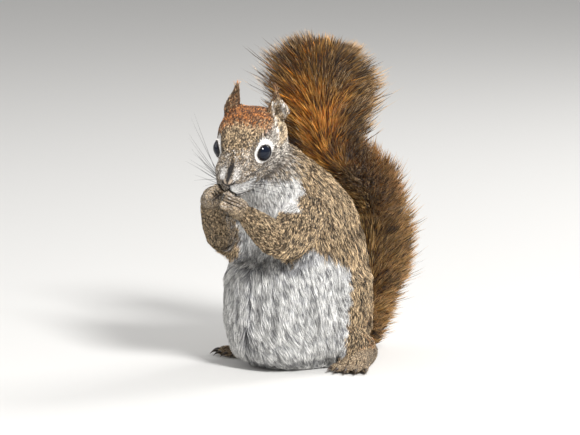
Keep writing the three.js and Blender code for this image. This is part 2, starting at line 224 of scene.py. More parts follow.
def cutMiddle(first, second):  # the middle of the cut between two lengths
    a, b = readPoints(nodes[first].data), readPoints(nodes[second].data)
    near = [np.linalg.norm(b - point, axis=1).min() < tailLook["cutGap"] * mm for point in a]
    return a[near].mean(axis=0)


def tailLine():
    low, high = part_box(tailNodes[0])
    root = readPoints(nodes[tailNodes[0]].data)
    points = [root[root[:, 2] < low[2] + tailLook["rootSlice"] * mm].mean(axis=0)]
    for part, name in enumerate(tailNodes):
        points.append(readPoints(nodes[name].data).mean(axis=0))
        if part + 1 < len(tailNodes):
            points.append(cutMiddle(name, tailNodes[part + 1]))
    top = readPoints(nodes[tailNodes[-1]].data)
    points.append(top[np.argmax(top[:, 2])])
    return curveThrough(points, tailLook["lineSteps"])


def lineFrames(line):  # the line's direction, and two axes square to it that turn as little as they can
    ahead = unit(np.gradient(line, axis=0))
    side = [unit(np.cross(ahead[0], (0, 1, 0)))]
    for direction in ahead[1:]:
        side.append(unit(side[-1] - direction * (side[-1] @ direction)))
    side = np.array(side)
    return ahead, side, np.cross(ahead, side)


def tubeMesh(name, line, radii, around=12):  # a tube round a line, with the given radii and open ends
    ahead, side, other = lineFrames(line)
    angles = np.linspace(0, 2 * math.pi, around, endpoint=False)
    ring = np.cos(angles)[None, :, None] * side[:, None] + np.sin(angles)[None, :, None] * other[:, None]
    points = (line[:, None] + ring * np.asarray(radii)[:, None, None]).reshape(-1, 3)
    k, j = np.meshgrid(np.arange(len(line) - 1), np.arange(around), indexing="ij")
    low, after = k * around, (j + 1) % around
    quads = np.stack([low + j, low + after, low + around + after, low + around + j], axis=-1).reshape(-1, 4)
    return makeMesh(name, points, quads)


# the skin: the flesh solids joined and smoothed, then moved in by the depth of the coat

skinLook = {
    "grow": 0.35, "growHands": 0.75,  # closes the gaps between the solids
    "voxel": 0.7,
    "mostLost": 4,  # of what the smoothing took off the rounded parts, put back
    "sameWay": 0.3,  # least cosine between the skin and the solid's face that it goes back to
    "fineBox": ((-20, 20), (-4, 27), (-14, 20)),  # the face gets finer faces here: out, back and up
    "fineDigits": 7,  # and the fingers and toes this near to them
    "faceDepth": 0.3, "wholeDepth": (1, 26),  # share of the coat's depth at the nose, and where it is whole
    "floor": 0.05,
}
# depth of the coat, and how many times the surface is smoothed
skinRegions = {
    "head": (1.2, 14), "eye": (1.0, 14), "nose": (0.4, 6), "ear": (0.4, 3), "neck": (2.4, 50),
    "chest": (2.8, 50), "abdomen": (3.2, 50), "rump": (3.0, 50), "tail": (0, 6),
    "upper_arm": (2.2, 26), "forearm": (1.5, 14), "hand": (0.35, 3),
    "thigh": (2.8, 34), "shank": (1.6, 16), "foot": (0.45, 4),
}
clawRegion = (0, 4)
headRegions = ("head", "eye", "nose")


def regionOf(name):  # a node's name without its side or number
    part, _, end = name.rpartition("_")
    return part if end in bothSides or name in tailNodes else name


def grownCopy(name, grow):
    shape = bmesh.new()
    shape.from_mesh(nodes[name].data)
    bmesh.ops.remove_doubles(shape, verts=shape.verts, dist=1e-6)
    shape.normal_update()
    for vertex in shape.verts:
        vertex.co += vertex.normal * grow
    mesh = bpy.data.meshes.new(name + "Copy")
    shape.to_mesh(mesh)
    shape.free()
    return mesh


def joinMeshes(name, meshes):
    whole = bmesh.new()
    for mesh in meshes:
        whole.from_mesh(mesh)
        bpy.data.meshes.remove(mesh)
    joined = bpy.data.meshes.new(name)
    whole.to_mesh(joined)
    whole.free()
    return joined


def bakeModifiers(thing):  # replaces the mesh by what its modifiers make of it
    graph = bpy.context.evaluated_depsgraph_get()
    result = bpy.data.meshes.new_from_object(thing.evaluated_get(graph))
    old = thing.data
    thing.modifiers.clear()
    thing.data = result
    bpy.data.meshes.remove(old)


def solidTree(names):  # a search tree over solids, and the name that each face belongs to
    points, faces, owners = [], [], []
    for name in names:
        start = sum(len(p) for p in points)
        triangles = readTriangles(nodes[name].data)
        points.append(readPoints(nodes[name].data))
        faces.append(triangles + start)
        owners += [name] * len(triangles)
    return BVHTree.FromPolygons(np.vstack(points).tolist(), np.vstack(faces).tolist()), owners


def nearestNames(points, names):
    tree, owners = solidTree(names)
    return np.array([owners[tree.find_nearest(point)[2]] for point in points.tolist()])


def coreMesh(line):
    inside = np.array(tailLook["insideRump"]) * mm
    steps = int(tailLook["lineSteps"] * tailLook["coreEnd"])
    start, every = tailLook["coreStart"], tailLook["coreEvery"]
    route = curveThrough(np.vstack([inside, line[start:steps:every], line[steps - 1:steps]]), steps)
    radii = np.linspace(*tailLook["coreRadius"], steps) * mm
    radii[[0, -1]] *= 0.1
    return tubeMesh("tailCore", route, radii)


def clawBase(name, limb):  # the middle of a claw's end nearer the palm or sole, and its tip
    shape = readPoints(nodes[name].data)
    distance = np.linalg.norm(shape - boxMiddle(limb), axis=1)
    return shape[distance < distance.min() + 0.5 * mm].mean(axis=0), shape[np.argmax(distance)]


digitLook = {
    "hand": {"length": 8.5, "fan": 0.0, "groove": 1.1, "width": 0.34},
    "foot": {"length": 10, "fan": 0.4, "groove": 0.8, "width": 0.34},
}
grooveLook = {
    "pastClaw": 0.1,  # share of a finger that its line runs on past its claw
    "reach": (2.6, 3.8),  # a groove fades this far from the nearest finger
    "root": (0.6, 2.2),  # and this near to its root
    "leastApart": 0.6,
    "seam": 1.6,  # deeper where a hand touches the chin or the other hand
}


def digitLines(limb, side):  # each finger or toe, from its claw back to its root
    look = digitLook[limb]
    middle = boxMiddle(f"{limb}_{side}")
    bases = [clawBase(name, f"{limb}_{side}")[0] for name in clawNodes if f"{limb}_{side}" in name]
    common = unit(middle - np.mean(bases, axis=0))
    lines = []
    for base in bases:
        way = unit(unit(middle - base) * look["fan"] + common * (1 - look["fan"]))
        lines.append((base, base + way * look["length"] * mm))
    return lines


def digitGrooves(points):  # in mm, deepest midway between neighbouring fingers or toes
    groove = np.zeros(len(points))
    rows = np.arange(len(points))
    for limb, look in digitLook.items():
        for side in bothSides:
            lines = digitLines(limb, side)
            feet = []
            for base, root in lines:
                way = root - base
                share = np.clip((points - base) @ way / (way @ way), -grooveLook["pastClaw"], 1)
                feet.append(base + share[:, None] * way)
            feet = np.array(feet) / mm
            away = np.linalg.norm(points / mm - feet, axis=2)
            order = np.argsort(away, axis=0)
            first, second = away[order[0], rows], away[order[1], rows]
            apart = np.linalg.norm(feet[order[0], rows] - feet[order[1], rows], axis=1)
            apart = np.maximum(apart, grooveLook["leastApart"])
            offLine = (second**2 - first**2) / (2 * apart)  # mm from midway between the two
            between = hump(offLine, 0, look["width"]) * (1 - ramp(first, *grooveLook["reach"]))
            ends = np.array([root for _, root in lines])
            fromRoot = np.linalg.norm(points[:, None] - ends[None], axis=2).min(axis=1) / mm
            groove = np.maximum(groove, between * ramp(fromRoot, *grooveLook["root"]) * look["groove"])
    return groove


def handSeams():  # 1 where a hand touches the chin or the other hand
    first, second = (owners[edges[:, end]] for end in (0, 1))
    firstHand, secondHand = (np.char.startswith(names.astype(str), "hand_") for names in (first, second))
    atChin = firstHand & (second == "head") | secondHand & (first == "head")
    crossing = (first != second) & (firstHand & secondHand | atChin)
    seam = np.zeros(len(points))
    seam[edges[crossing].ravel()] = 1
    return np.clip(spread(seam, edges, 2) * grooveLook["seam"], 0, 1)


def refineFace(mesh):  # halves the edges of the quads on the face, fingers and toes
    shape = bmesh.new()
    shape.from_mesh(mesh)
    centres = np.array([face.calc_center_median() for face in shape.faces])
    near = np.ones(len(centres), dtype=bool)
    for place, (low, high) in zip(toHead(centres).T, skinLook["fineBox"]):
        near &= (place > low) & (place < high)
    for limb in digitLook:
        for side in bothSides:
            for base, root in digitLines(limb, side):
                middle = base * 0.6 + root * 0.4
                near |= np.linalg.norm(centres - middle, axis=1) < skinLook["fineDigits"] * mm
    shape.faces.ensure_lookup_table()
    halved = {edge for index in np.flatnonzero(near) for edge in shape.faces[index].edges}
    bmesh.ops.subdivide_edges(shape, edges=list(halved), cuts=1, use_grid_fill=True)
    bmesh.ops.triangulate(shape, faces=shape.faces)
    shape.to_mesh(mesh)
    shape.free()


def followSolids(points, edges, normals):  # puts back what the smoothing took off the rounded parts
    tree = solidTree(skinNodes)[0]
    lost = np.zeros(len(points))
    for k, (point, normal) in enumerate(zip(points.tolist(), normals.tolist())):
        hit, face, _, away = tree.ray_cast(point, normal, skinLook["mostLost"] * mm)
        if hit is not None and face.dot(Vector(normal)) > skinLook["sameWay"]:
            lost[k] = away
    return points + normals * spread(lost, edges, 10)[:, None]


def makeSkin():
    grow = {name: skinLook["growHands" if name.startswith("hand_") else "grow"] * mm for name in skinNodes}
    copies = [grownCopy(name, grow[name]) for name in skinNodes]
    skin = addObject("skin", joinMeshes("skin", copies + [coreMesh(line)]))
    remesh = skin.modifiers.new("voxels", "REMESH")
    remesh.mode = "VOXEL"
    remesh.voxel_size = skinLook["voxel"] * mm
    bakeModifiers(skin)
    points, edges = readPoints(skin.data), readEdges(skin.data)
    owners = nearestNames(points, sorted(nodes))
    times = np.array([skinRegions.get(regionOf(name), clawRegion)[1] for name in owners], float)
    times = spread(times, edges, 12)
    for step in range(int(times.max())):
        points = spread(points, edges, 1, 0.5 * np.clip(times - step, 0, 1))
    points = followSolids(points, edges, pointNormals(points, readTriangles(skin.data)))
    writePoints(skin.data, points)
    refineFace(skin.data)
    return skin


print("skin")
line = tailLine()
skin = makeSkin()
points = readPoints(skin.data)
triangles = readTriangles(skin.data)
edges = readEdges(skin.data)
owners = nearestNames(points, sorted(nodes))
regions = np.array([regionOf(name) for name in owners])
onHead = np.isin(regions, headRegions)


# eyes: where each one looks, and how far its lids open

eyeLook = {
    "radius": 4.9,
    "inset": 1.6,  # the ball's middle from the solid's
    "gaze": (0.8, -0.5, 0.2),  # out, back and up
    "bulge": 0.02,  # of the radius, over the iris
    "opening": 44,  # degrees from the gaze
    "frontCorner": 6, "backCorner": 2,  # degrees more at each corner
    "lidEdge": 5, "lid": 11, "lidFade": 26,  # degrees: its rounded edge, its width, and its run into the face
    "lidReach": (2, 2.6),  # of the radius, where it ends
    "lidHeight": 1.035,  # of the radius
    "sink": 0.86,  # of the radius, where the skin passes behind the eye
}


def eyeFrame(side):  # the eye's middle, the gaze, the way to the front corner, and up
    sign = 1 if side == "left" else -1
    out, back, up = eyeLook["gaze"]
    gaze = unit(np.array([sign * out, back, up]) @ headFrame)
    front = unit(-headFrame[1] + gaze * (headFrame[1] @ gaze))
    above = np.cross(front, gaze) * sign
    return boxMiddle(f"eye_{side}") - gaze * eyeLook["inset"] * mm, gaze, front, unit(above)


def fromEye(side):  # how far each point is from an eye's middle, in mm
    return np.linalg.norm(points - eyeFrame(side)[0], axis=1) / mm


def eyeAngles(points, side):  # degrees from the gaze, the lid's own angle there, and the clock angle
    middle, gaze, front, above = eyeFrame(side)
    away = unit(points - middle)
    fromGaze = np.degrees(np.arccos(np.clip(away @ gaze, -1, 1)))
    clock = np.arctan2(away @ above, away @ front)
    corner = eyeLook["frontCorner"] * np.maximum(np.cos(clock), 0) ** 4
    corner += eyeLook["backCorner"] * np.maximum(-np.cos(clock), 0) ** 4
    return fromGaze, eyeLook["opening"] + corner, clock


def shapeLids(points):
    look, radius = eyeLook, eyeLook["radius"] * mm
    for side in bothSides:
        middle = eyeFrame(side)[0]
        away = points - middle
        distance = np.linalg.norm(away, axis=1)
        fromGaze, opening, _ = eyeAngles(points, side)
        rise = ramp(fromGaze, opening - look["lidEdge"], opening)
        target = radius * (look["sink"] * (1 - rise) + look["lidHeight"] * rise)
        hold = 1 - ramp(fromGaze, opening + look["lid"] * 0.7, opening + look["lid"] + look["lidFade"])
        hold *= 1 - ramp(distance, *(reach * radius for reach in look["lidReach"]))
        wanted = distance * (1 - hold) + target * hold
        points = middle + away * (wanted / np.maximum(distance, 1e-9))[:, None]
    return points


# ears: where each one starts and ends, and the way its hollow faces

earLook = {
    "left": {"base": (12, 37.3, 6), "point": (11.7, 41.3, 28), "facing": (0.45, -0.88, 0.1)},
    "right": {"base": (-10, 38.3, 7), "point": (-5.6, 41.3, 28), "facing": (-0.93, 0.2, 0.05)},
    "height": 22,
    "shorten": 5.2, "shortenFrom": 0.25,  # mm taken off the skin's tip, and the share of the way up it starts
    "narrow": 0.5, "rearLobe": 0.5,  # of the width at the tip, and low down on the rear edge
    "lobeTop": (0.1, 0.4), "narrowFrom": 0.2,  # shares of the way up
    "scoop": 2.2,  # mm more depth in the hollow
    "hollow": (-4.2, 2.2),  # mm across, from its rear edge to its front one
    "top": 0.52,  # share of the way up to the hollow's top
    "edge": (-0.9, 0.1),  # mm, where the hollow fades
    "rim": (0.2, 0.65),  # mm outside the hollow, and the width of the line there
    "rimTop": (0.68, 0.78),  # shares of the way up, where that line ends
    "tipHair": 4.4, "tipLift": 0.6, "tipWidth": 0.05,  # mm more there
    "gather": 0.16,  # how much the hair there leans in, for each mm across
}


def earHollow(share, across):  # 1 in the hollow, and 1 on the line round it
    rear, front = earLook["hollow"]
    beside = np.maximum(across - front, rear - across)
    outside = np.maximum(beside, (share - earLook["top"]) * earLook["height"])  # mm
    rim = hump(outside, *earLook["rim"]) * (1 - ramp(share, *earLook["rimTop"]))
    return 1 - ramp(outside, *earLook["edge"]), rim


def earAxes(side):  # up the ear, the way it faces, and across to its front edge
    look = earLook[side]
    up = unit(np.subtract(look["point"], look["base"]))
    facing = unit(look["facing"])
    return up, facing, unit(np.cross(up, facing)) * (-1 if side == "left" else 1)


def earPlaces(points, side):  # the share of the way up, and mm across toward the front edge
    up, _, frontward = earAxes(side)
    base, point = (np.array(earLook[side][end], float) for end in ("base", "point"))
    away = toHead(points) - base
    return away @ up / np.linalg.norm(point - base), away @ frontward


def shapeEars(points):
    for side in bothSides:
        onEar = owners == f"ear_{side}"
        up, facing, frontward = (way @ headFrame for way in earAxes(side))
        share, across = earPlaces(points, side)
        hollow = ramp(pointNormals(points, triangles) @ facing, 0.0, 0.5) * earHollow(share, across)[0]
        hollow = spread(hollow * onEar * ramp(share, 0, 0.15), edges, 2) * earLook["scoop"]
        start = earLook["shortenFrom"]
        shorten = earLook["shorten"] * onEar * np.clip((share - start) / (1 - start), 0, 1)
        narrow = earLook["narrow"] * ramp(share, earLook["narrowFrom"], 1)
        narrow = narrow + earLook["rearLobe"] * (across < 0) * (1 - ramp(share, *earLook["lobeTop"]))
        narrow = spread(narrow * across * onEar, edges, 3)
        shift = up * shorten[:, None] + facing * hollow[:, None] + frontward * narrow[:, None]
        points = points - shift * mm
    return points


# mouth: a groove along a line on each side, from under the nose to the corner

mouthLook = {
    "line": ((0, 0, -5.2), (1.4, 0, -6.6), (3.4, 0, -7.8), (6.0, 0, -8.4)),  # out and up; back is left out
    "cleft": ((0, 0, -1.6), (0, 0, -5.2)),
    "finer": 1.4,  # how much finer the cleft is than the line
    "back": (8, 10),
    "depth": 0.8,
    "width": 0.5,
}


def nearLine(places, route):  # distance of each place from a line, in mm
    route = np.asarray(route, float)
    best = np.full(len(places), 1e9)
    for a, b in zip(route, route[1:]):
        share = np.clip((places - a) @ (b - a) / ((b - a) @ (b - a)), 0, 1)
        best = np.minimum(best, np.linalg.norm(places - a - share[:, None] * (b - a), axis=1))
    return best


def foldedFlat(places):  # both sides of the head on one, with no depth
    flat = places * (1, 0, 1)
    flat[:, 0] = np.abs(flat[:, 0])
    return flat


def mouthMask(places):
    flat = foldedFlat(places)
    lips = nearLine(flat, curveThrough(mouthLook["line"], 24))
    cleft = nearLine(flat, mouthLook["cleft"]) * mouthLook["finer"]
    groove = hump(np.minimum(lips, cleft), 0, mouthLook["width"])
    return groove * (1 - ramp(places[:, 1], *mouthLook["back"]))


def moveIn(points):  # from the coat's surface down to the skin
    depth = np.array([skinRegions.get(region, clawRegion)[0] for region in regions])
    least = skinLook["faceDepth"]
    thin = least + (1 - least) * ramp(toHead(points)[:, 1], *skinLook["wholeDepth"])
    depth = spread(np.where(onHead, depth * thin, depth), edges, 14)
    points = points - pointNormals(points, triangles) * depth[:, None] * mm
    points = spread(points, edges, 3)
    points = shapeEars(shapeLids(points))
    groove = mouthMask(toHead(points)) * onHead * mouthLook["depth"] + digitGrooves(points) + handSeams()
    points = points - pointNormals(points, triangles) * (groove * mm)[:, None]
    points[:, 2] = np.maximum(points[:, 2], skinLook["floor"] * mm)
    return points


points = moveIn(points)
writePoints(skin.data, points)
normals = pointNormals(points, triangles)
places = toHead(points)
print("skin has", len(points), "points,", len(triangles), "faces")


# markings, kept as masks on the skin and handed on to the coat

lidMarks = {
    "ring": 1.3, "ringTop": 0.9, "ringBack": 1.35,  # mm of pale fur round the lids, and more above and behind
    "topClock": 1.95,  # radians, where the ring is highest
    "ringEdge": (0.75, 1.35), "rimEdge": (0.6, 1.4),  # shares of the width, where each one fades
    "rim": 0.34,  # mm of bare dark lid
    "reach": 12,  # mm from the eye's middle
}


def swirl(points):  # a slow wander over the body, from -1 to 1
    x, y, z = (points / mm).T
    broad = np.sin(0.31 * x + 1.7 * np.sin(0.11 * y)) * np.sin(0.27 * z + 1.3 * np.sin(0.17 * x + 0.9))
    return broad * 0.6 + 0.4 * np.sin(0.83 * z + 0.7 * y + 2 * np.sin(0.4 * x))


def fromLids(side):  # mm along the skin from the edge of the lids, and the clock angle
    fromGaze, opening, clock = eyeAngles(points, side)
    radius = eyeLook["radius"]
    over = fromEye(side) - radius * eyeLook["lidHeight"]
    along = np.radians(fromGaze - opening) * radius
    return np.where(along > 0, np.hypot(along, np.maximum(over, 0)), along), clock


def eyeMarks():  # the pale ring round each eye, and the dark rim of its lids
    look = lidMarks
    ring, rim = np.zeros((2, len(points)))
    for side in bothSides:
        reach, clock = fromLids(side)
        near = fromEye(side) < look["reach"]
        wide = look["ring"] + look["ringTop"] * np.maximum(np.cos(clock - look["topClock"]), 0) ** 8
        wide += look["ringBack"] * np.maximum(-np.cos(clock), 0) ** 2
        ring = np.maximum(ring, near * (1 - ramp(reach, *(wide * share for share in look["ringEdge"]))))
        rim = np.maximum(rim, near * (1 - ramp(reach, *(look["rim"] * share for share in look["rimEdge"]))))
    return ring * (1 - rim), rim


bellyLook = {
    "height": (0, 40, 52, 58, 66, 84, 94, 102),
    "back": (12, 12, 8, -4, -12, -18, -22, -30),  # the white reaches this far back at those heights
    "flank": (35, 35, 33, 12, 3, 2.5, 2.5, 2.5),  # and so far out and back together
    "flankOut": 1.19,  # share of the way out in that sum
    "bibHeight": 75,  # the throat's white comes down to here on the shoulder
    "jawHeight": (88, 93),  # and the neck's fades here, under the jaw
    "wander": 1.6,
    "soft": (1.5, 1.8, 1.2),  # half the width of its edge at the back, the flank and the shoulder
}


def bellyMark():  # the white of the belly, chest and throat
    look = bellyLook
    out, depth, height = np.abs(points[:, 0]) / mm, points[:, 1] / mm, points[:, 2] / mm
    wander = look["wander"] * swirl(points)
    back = np.interp(height, look["height"], look["back"]) + wander - depth
    flank = np.interp(height, look["height"], look["flank"]) + wander - look["flankOut"] * out - depth
    bib = height - look["bibHeight"] + wander
    back, flank, bib = (ramp(mark, -soft, soft) for mark, soft in zip((back, flank, bib), look["soft"]))
    onBody = np.isin(regions, ("chest", "abdomen", "rump", "neck", "thigh", "shank"))
    onBody = np.maximum(onBody, (regions == "upper_arm") * bib)
    jaw = 1 - (regions == "neck") * ramp(height, *look["jawHeight"])
    return np.minimum(back, flank) * onBody * jaw


earHair = {  # across is in mm, below 0 toward the rear edge, and up is a share of the ear
    "rimWhite": 0.2, "tuftWhite": 0.7,  # how white the hair is on the rim and in the tuft at its rear edge
    "rimBright": 0.5, "hollowBright": 0.12, "tuftBright": 0.6,
    "tuftAcross": (-2.6, 1.1), "tuftUp": (0.36, 0.16),  # its middle and reach, in mm and as shares of the ear
    "middleAcross": (0.6, 0.8), "middleTop": (0.3, 0.5),  # the same for the painted shade in the hollow's middle, and where it fades
    "middleShade": 0.5, "outsideDark": 0.3, "outsideRust": 0.5,
    "outsideFoot": (-0.1, 0.3), "outsideTop": (0.6, 0.9),  # shares of the way up where the dark outside fades
    "foot": (-0.45, -0.15), "footTop": (0.2, 0.3),  # and where the rims run out on the head
    "footAcross": 6, "footOut": 9,  # mm they reach there
}


def earMarks():  # the pale hair in the hollow, the cream rim, painted shade in the hollow's middle, and the dark and rusty outside
    look = earHair
    pale, cream, shadeAndDarkHair, rusty, bright = np.zeros((5, len(points)))
    for side in bothSides:
        onEar = owners == f"ear_{side}"
        share, across = earPlaces(points, side)
        fromBase = np.abs(places[:, 0] - earLook[side]["base"][0])
        below = (regions == "head") * (np.abs(across) < look["footAcross"]) * (fromBase < look["footOut"])
        below = below * ramp(share, *look["foot"]) * (1 - ramp(share, *look["footTop"]))
        faces = np.maximum(onEar, below) * ramp(normals @ (earAxes(side)[1] @ headFrame), -0.15, 0.3)
        inside, rim = earHollow(share, across)
        tuft = hump(across, *look["tuftAcross"]) * hump(share, *look["tuftUp"])
        middle = inside * hump(across, *look["middleAcross"]) * (1 - ramp(share, *look["middleTop"]))
        outside = onEar * (1 - np.clip(faces * np.maximum(inside, rim), 0, 1))
        pale += faces * np.maximum(rim * look["rimWhite"], inside * look["tuftWhite"] * tuft)
        glow = look["hollowBright"] + look["tuftBright"] * tuft
        bright += faces * np.maximum(rim * look["rimBright"], inside * glow)
        cream += faces * np.maximum(inside, rim)
        # painted shade deep in the middle of the hollow
        shadeAndDarkHair += faces * middle * look["middleShade"]
        edge = ramp(share, *look["outsideFoot"]) * (1 - ramp(share, *look["outsideTop"]))
        # the outside's dark band is the ear's own dark hair
        shadeAndDarkHair += outside * edge * look["outsideDark"]
        rusty += outside * look["outsideRust"]
    return pale, cream, shadeAndDarkHair, rusty, bright


headPatches = {  # mm out, back, up or down from the nose, where each patch of the head fades in and out
    "throat": {"back from": (6, 9)},
    "lips": {"back to": (7, 12), "down from": (0.8, 2.4), "down to": (8.6, 9.8)},
    # painted shade under the front of the chin
    "chin": {"back to": (6, 9), "down from": (8.8, 10)},
    "wings": {"out from": (1.3, 2.2), "out to": (4, 5.5), "back to": (3.5, 7), "up from": (-1, 0.5)},
    "stripe": {"back to": (4, 12), "up from": (0.2, 1)},
    "crown": {"back from": (14, 28)},
    "muzzle": {"back to": (6, 14)},
}


def headPatch(name):  # 1 in a patch of the head
    ways = {"out": np.abs(places[:, 0]), "back": places[:, 1], "up": places[:, 2], "down": -places[:, 2]}
    mask = onHead.astype(float)
    for key, edge in headPatches[name].items():
        way, end = key.split()
        fade = ramp(ways[way], *edge)
        mask = mask * (fade if end == "from" else 1 - fade)
    return mask


markLook = {
    "tilt": 0.15,  # mm that the crown and the cheek rise for each mm to the left
    "crownUp": (3, 15), "cheekUp": (5, 12),  # mm up, where the crown starts and the cheek ends
    "crownWander": 1.8,
    "throat": (7.4, 0.4, 12), "throatSoft": 1.6,  # mm down, and more for each mm behind this place
    "stripe": (1.25, 0.08, 4), "stripeEdge": (-0.6, 0.4),  # half its width, less for each mm from here
    "haunchBack": (-12, 26), "haunchUp": (16, 44),
    "innerIn": (0.15, 0.6), "innerBack": (-0.5, 0.1),  # how far the skin of the inner arm faces in, and back
    "fingersUp": (70, 80), "brightUp": (66, 74), "napeBack": (10, 24),
    "lipLitFrom": (-0.8, 0.8), "lipInShade": 0.4, "lipLitBright": (0.2, 1.2),  # painted light and shade: the lip is whiter and brighter left of the cleft, and in painted shade to its right
    "greyBack": (16, 26), "greyTurn": (0.3, 0.8),  # the cheek's grey, where it is full and where it faces back
}
markShares = {  # how strong each mark is in each place
    "white": {"upper_arm": 0.8, "forearm": 0.3, "lips": 0.85, "wings": 0.4},
    "ring": {"wings": 0.5, "fingers": 0.3, "bright": 0.5},
    "rust": {"crown": 0.8, "haunch": 0.42, "paws": 0.3},
    "dark": {"mouth": 1.1, "seamShade": 0.8},
    "buff": {"paws": 0.75, "forearm": 0.25, "ears": 0.95},
    "cheek": {"low": 0.55, "muzzle": 0.6, "ahead": 0.6, "nape": 0.6, "hand": 0.7},
}


def makeMarks():
    look = markLook
    left, back, up = places.T
    depth, height = points[:, 1] / mm, points[:, 2] / mm
    onPaw = np.isin(regions, ("hand", "foot"))
    pale, cream, shadeAndDarkHair, rusty, earBright = earMarks()
    ring, lidRim = eyeMarks()
    belly, lips, wings = bellyMark(), headPatch("lips"), headPatch("wings")
    tilted = up - look["tilt"] * left

    share = markShares["white"]
    down, slope, start = look["throat"]
    throat = headPatch("throat")
    throat = throat * ramp(-up - down - slope * (back - start), -look["throatSoft"], look["throatSoft"])
    inward = ramp(-normals[:, 0] * np.sign(points[:, 0] + 1e-9), *look["innerIn"])
    inner = sum((regions == limb) * share[limb] for limb in ("upper_arm", "forearm"))
    inner = inner * inward * ramp(normals[:, 1], *look["innerBack"])
    least = look["lipInShade"]
    # painted shade: the lip is less white on the animal's right
    lipWhite = share["lips"] * lips * (least + (1 - least) * ramp(left, *look["lipLitFrom"]))
    whites = [belly, throat, inner, lipWhite, share["wings"] * wings, pale]
    white = spread(np.maximum.reduce(whites), edges, 3)

    share = markShares["ring"]
    fingers = spread((regions == "hand") * ramp(height, *look["fingersUp"]), edges, 4)
    # painted light: the lip is brighter only on the animal's left
    brights = [belly * ramp(height, *look["brightUp"]), throat, lips * ramp(left, *look["lipLitBright"])]
    bright = np.maximum.reduce(brights)
    pales = [ring, share["wings"] * wings, earBright, share["fingers"] * fingers, share["bright"] * bright]
    ring = np.maximum.reduce(pales)

    share = markShares["rust"]
    crown = headPatch("crown") * ramp(tilted + look["crownWander"] * swirl(points), *look["crownUp"])
    haunch = np.isin(regions, ("thigh", "shank")) * ramp(depth, *look["haunchBack"])
    haunch = haunch * (1 - ramp(height, *look["haunchUp"]))
    reds = [crown * share["crown"], rusty, haunch * share["haunch"], onPaw * share["paws"]]
    rust = spread(np.maximum.reduce(reds), edges, 10)

    share = markShares["dark"]
    widest, taper, start = look["stripe"]
    half = widest - taper * np.abs(back - start)
    stripe = headPatch("stripe") * (1 - ramp(np.abs(left) - half, *look["stripeEdge"]))
    # painted shadow where a hand touches the chin or the other hand
    mouth, seamShade = mouthMask(places) * onHead * share["mouth"], handSeams() * share["seamShade"]
    # painted shade: digitGrooves darkens the grooves between the fingers and toes, and the chin patch darkens
    # under the chin
    dark = np.maximum.reduce([stripe, mouth, lidRim, digitGrooves(points), seamShade, shadeAndDarkHair, headPatch("chin")])

    share = markShares["buff"]
    buff = spread(onPaw * share["paws"] + (regions == "forearm") * share["forearm"], edges, 4)
    buff = np.maximum(buff, cream * share["ears"])

    share = markShares["cheek"]
    grey = onHead * (1 - ramp(tilted, *look["cheekUp"]))
    grey = grey * (share["low"] + (1 - share["low"]) * ramp(back, *look["greyBack"]))
    grey = np.maximum(grey, headPatch("muzzle") * share["muzzle"])
    grey = grey * (1 - share["ahead"] * ramp(normals @ headFrame[1], *look["greyTurn"]))
    nape = (regions == "neck") * ramp(-depth, *look["napeBack"]) * share["nape"]
    cheek = spread(np.maximum.reduce([grey, wings, nape, (regions == "hand") * share["hand"]]), edges, 8)
    return {"white": white, "ring": ring, "rust": rust, "dark": dark, "buff": buff, "cheek": cheek}


marks = makeMarks()
for name, values in marks.items():
    storeValues(skin.data, name, values)


# the lie of the coat

lieLook = {  # out, back, up; mirrored for the right side
    "neck": (0, 0.45, -0.9), "chest": (0, 0.2, -1), "abdomen": (0.25, 0.1, -1), "rump": (0.4, 0.25, -1),
    "upper_arm": (0.15, -0.6, -0.8), "forearm": (-0.36, -0.65, 0.66), "hand": (-0.4, -0.68, 0.6),
    "thigh": (0.05, 0.15, -1), "shank": (0.1, -0.5, -0.85), "foot": (0.4, -0.91, -0.05), "tail": (0, 0.1, 1),
}
headLie = {
    "ear": (0, 0.25, 1),
    "source": (0, -9, 1),  # the head's coat runs back from here
    "parting": 5.5,  # mm from the lids where the coat stops running away from the eye
    "parted": 0.9,  # share of it that does, at the lids
}


def alongSkin(ways):  # what is left of each way once it is laid flat on the skin
    return ways - normals * np.sum(ways * normals, axis=1, keepdims=True)


def makeLie():
    lie = np.zeros_like(points)
    mirror = np.where(points[:, :1] < 0, (-1, 1, 1), (1, 1, 1))
    for region, way in lieLook.items():
        lie = np.where((regions == region)[:, None], mirror * way, lie)
    lie = np.where(onHead[:, None], unit(places - np.array(headLie["source"])) @ headFrame, lie)
    lie = np.where((regions == "ear")[:, None], unit(headLie["ear"]) @ headFrame, lie)
    for side in bothSides:
        share, across = earPlaces(points, side)
        lean = earLook["gather"] * across * (owners == f"ear_{side}") * ramp(share, 0.3, 0.7)
        lie = lie - (earAxes(side)[2] @ headFrame) * lean[:, None]
    lie = spread(unit(lie), edges, 6)
    for side in bothSides:
        reach = (fromEye(side) - eyeLook["radius"])[:, None]
        away = alongSkin(points - eyeFrame(side)[0])
        part = (1 - ramp(reach, 0.5, headLie["parting"])) * headLie["parted"]
        lie = np.where(reach < headLie["parting"], unit(lie) * (1 - part) + unit(away) * part, lie)
    return unit(spread(unit(alongSkin(lie)), edges, 3))


def bendAlong(lie):  # how fast the skin turns away along the lie, in radians per metre
    first, second = edges[:, 0], edges[:, 1]
    step = points[second] - points[first]
    turn = normals[second] - normals[first]
    square = np.sum(step * step, axis=1)
    bend = np.sum(step * turn, axis=1) / square
    total, weight = np.zeros(len(points)), np.full(len(points), 1e-9)
    for end in (first, second):
        share = np.sum(step * lie[end], axis=1) ** 2 / square
        total += np.bincount(end, share * bend, len(points))
        weight += np.bincount(end, share, len(points))
    return np.clip(spread(total / weight, edges, 12), -20, 160)


lie = makeLie()
bend = bendAlong(lie)


# the coat: joined tufts, each a thin blade that leaves the skin and bends down along the lie

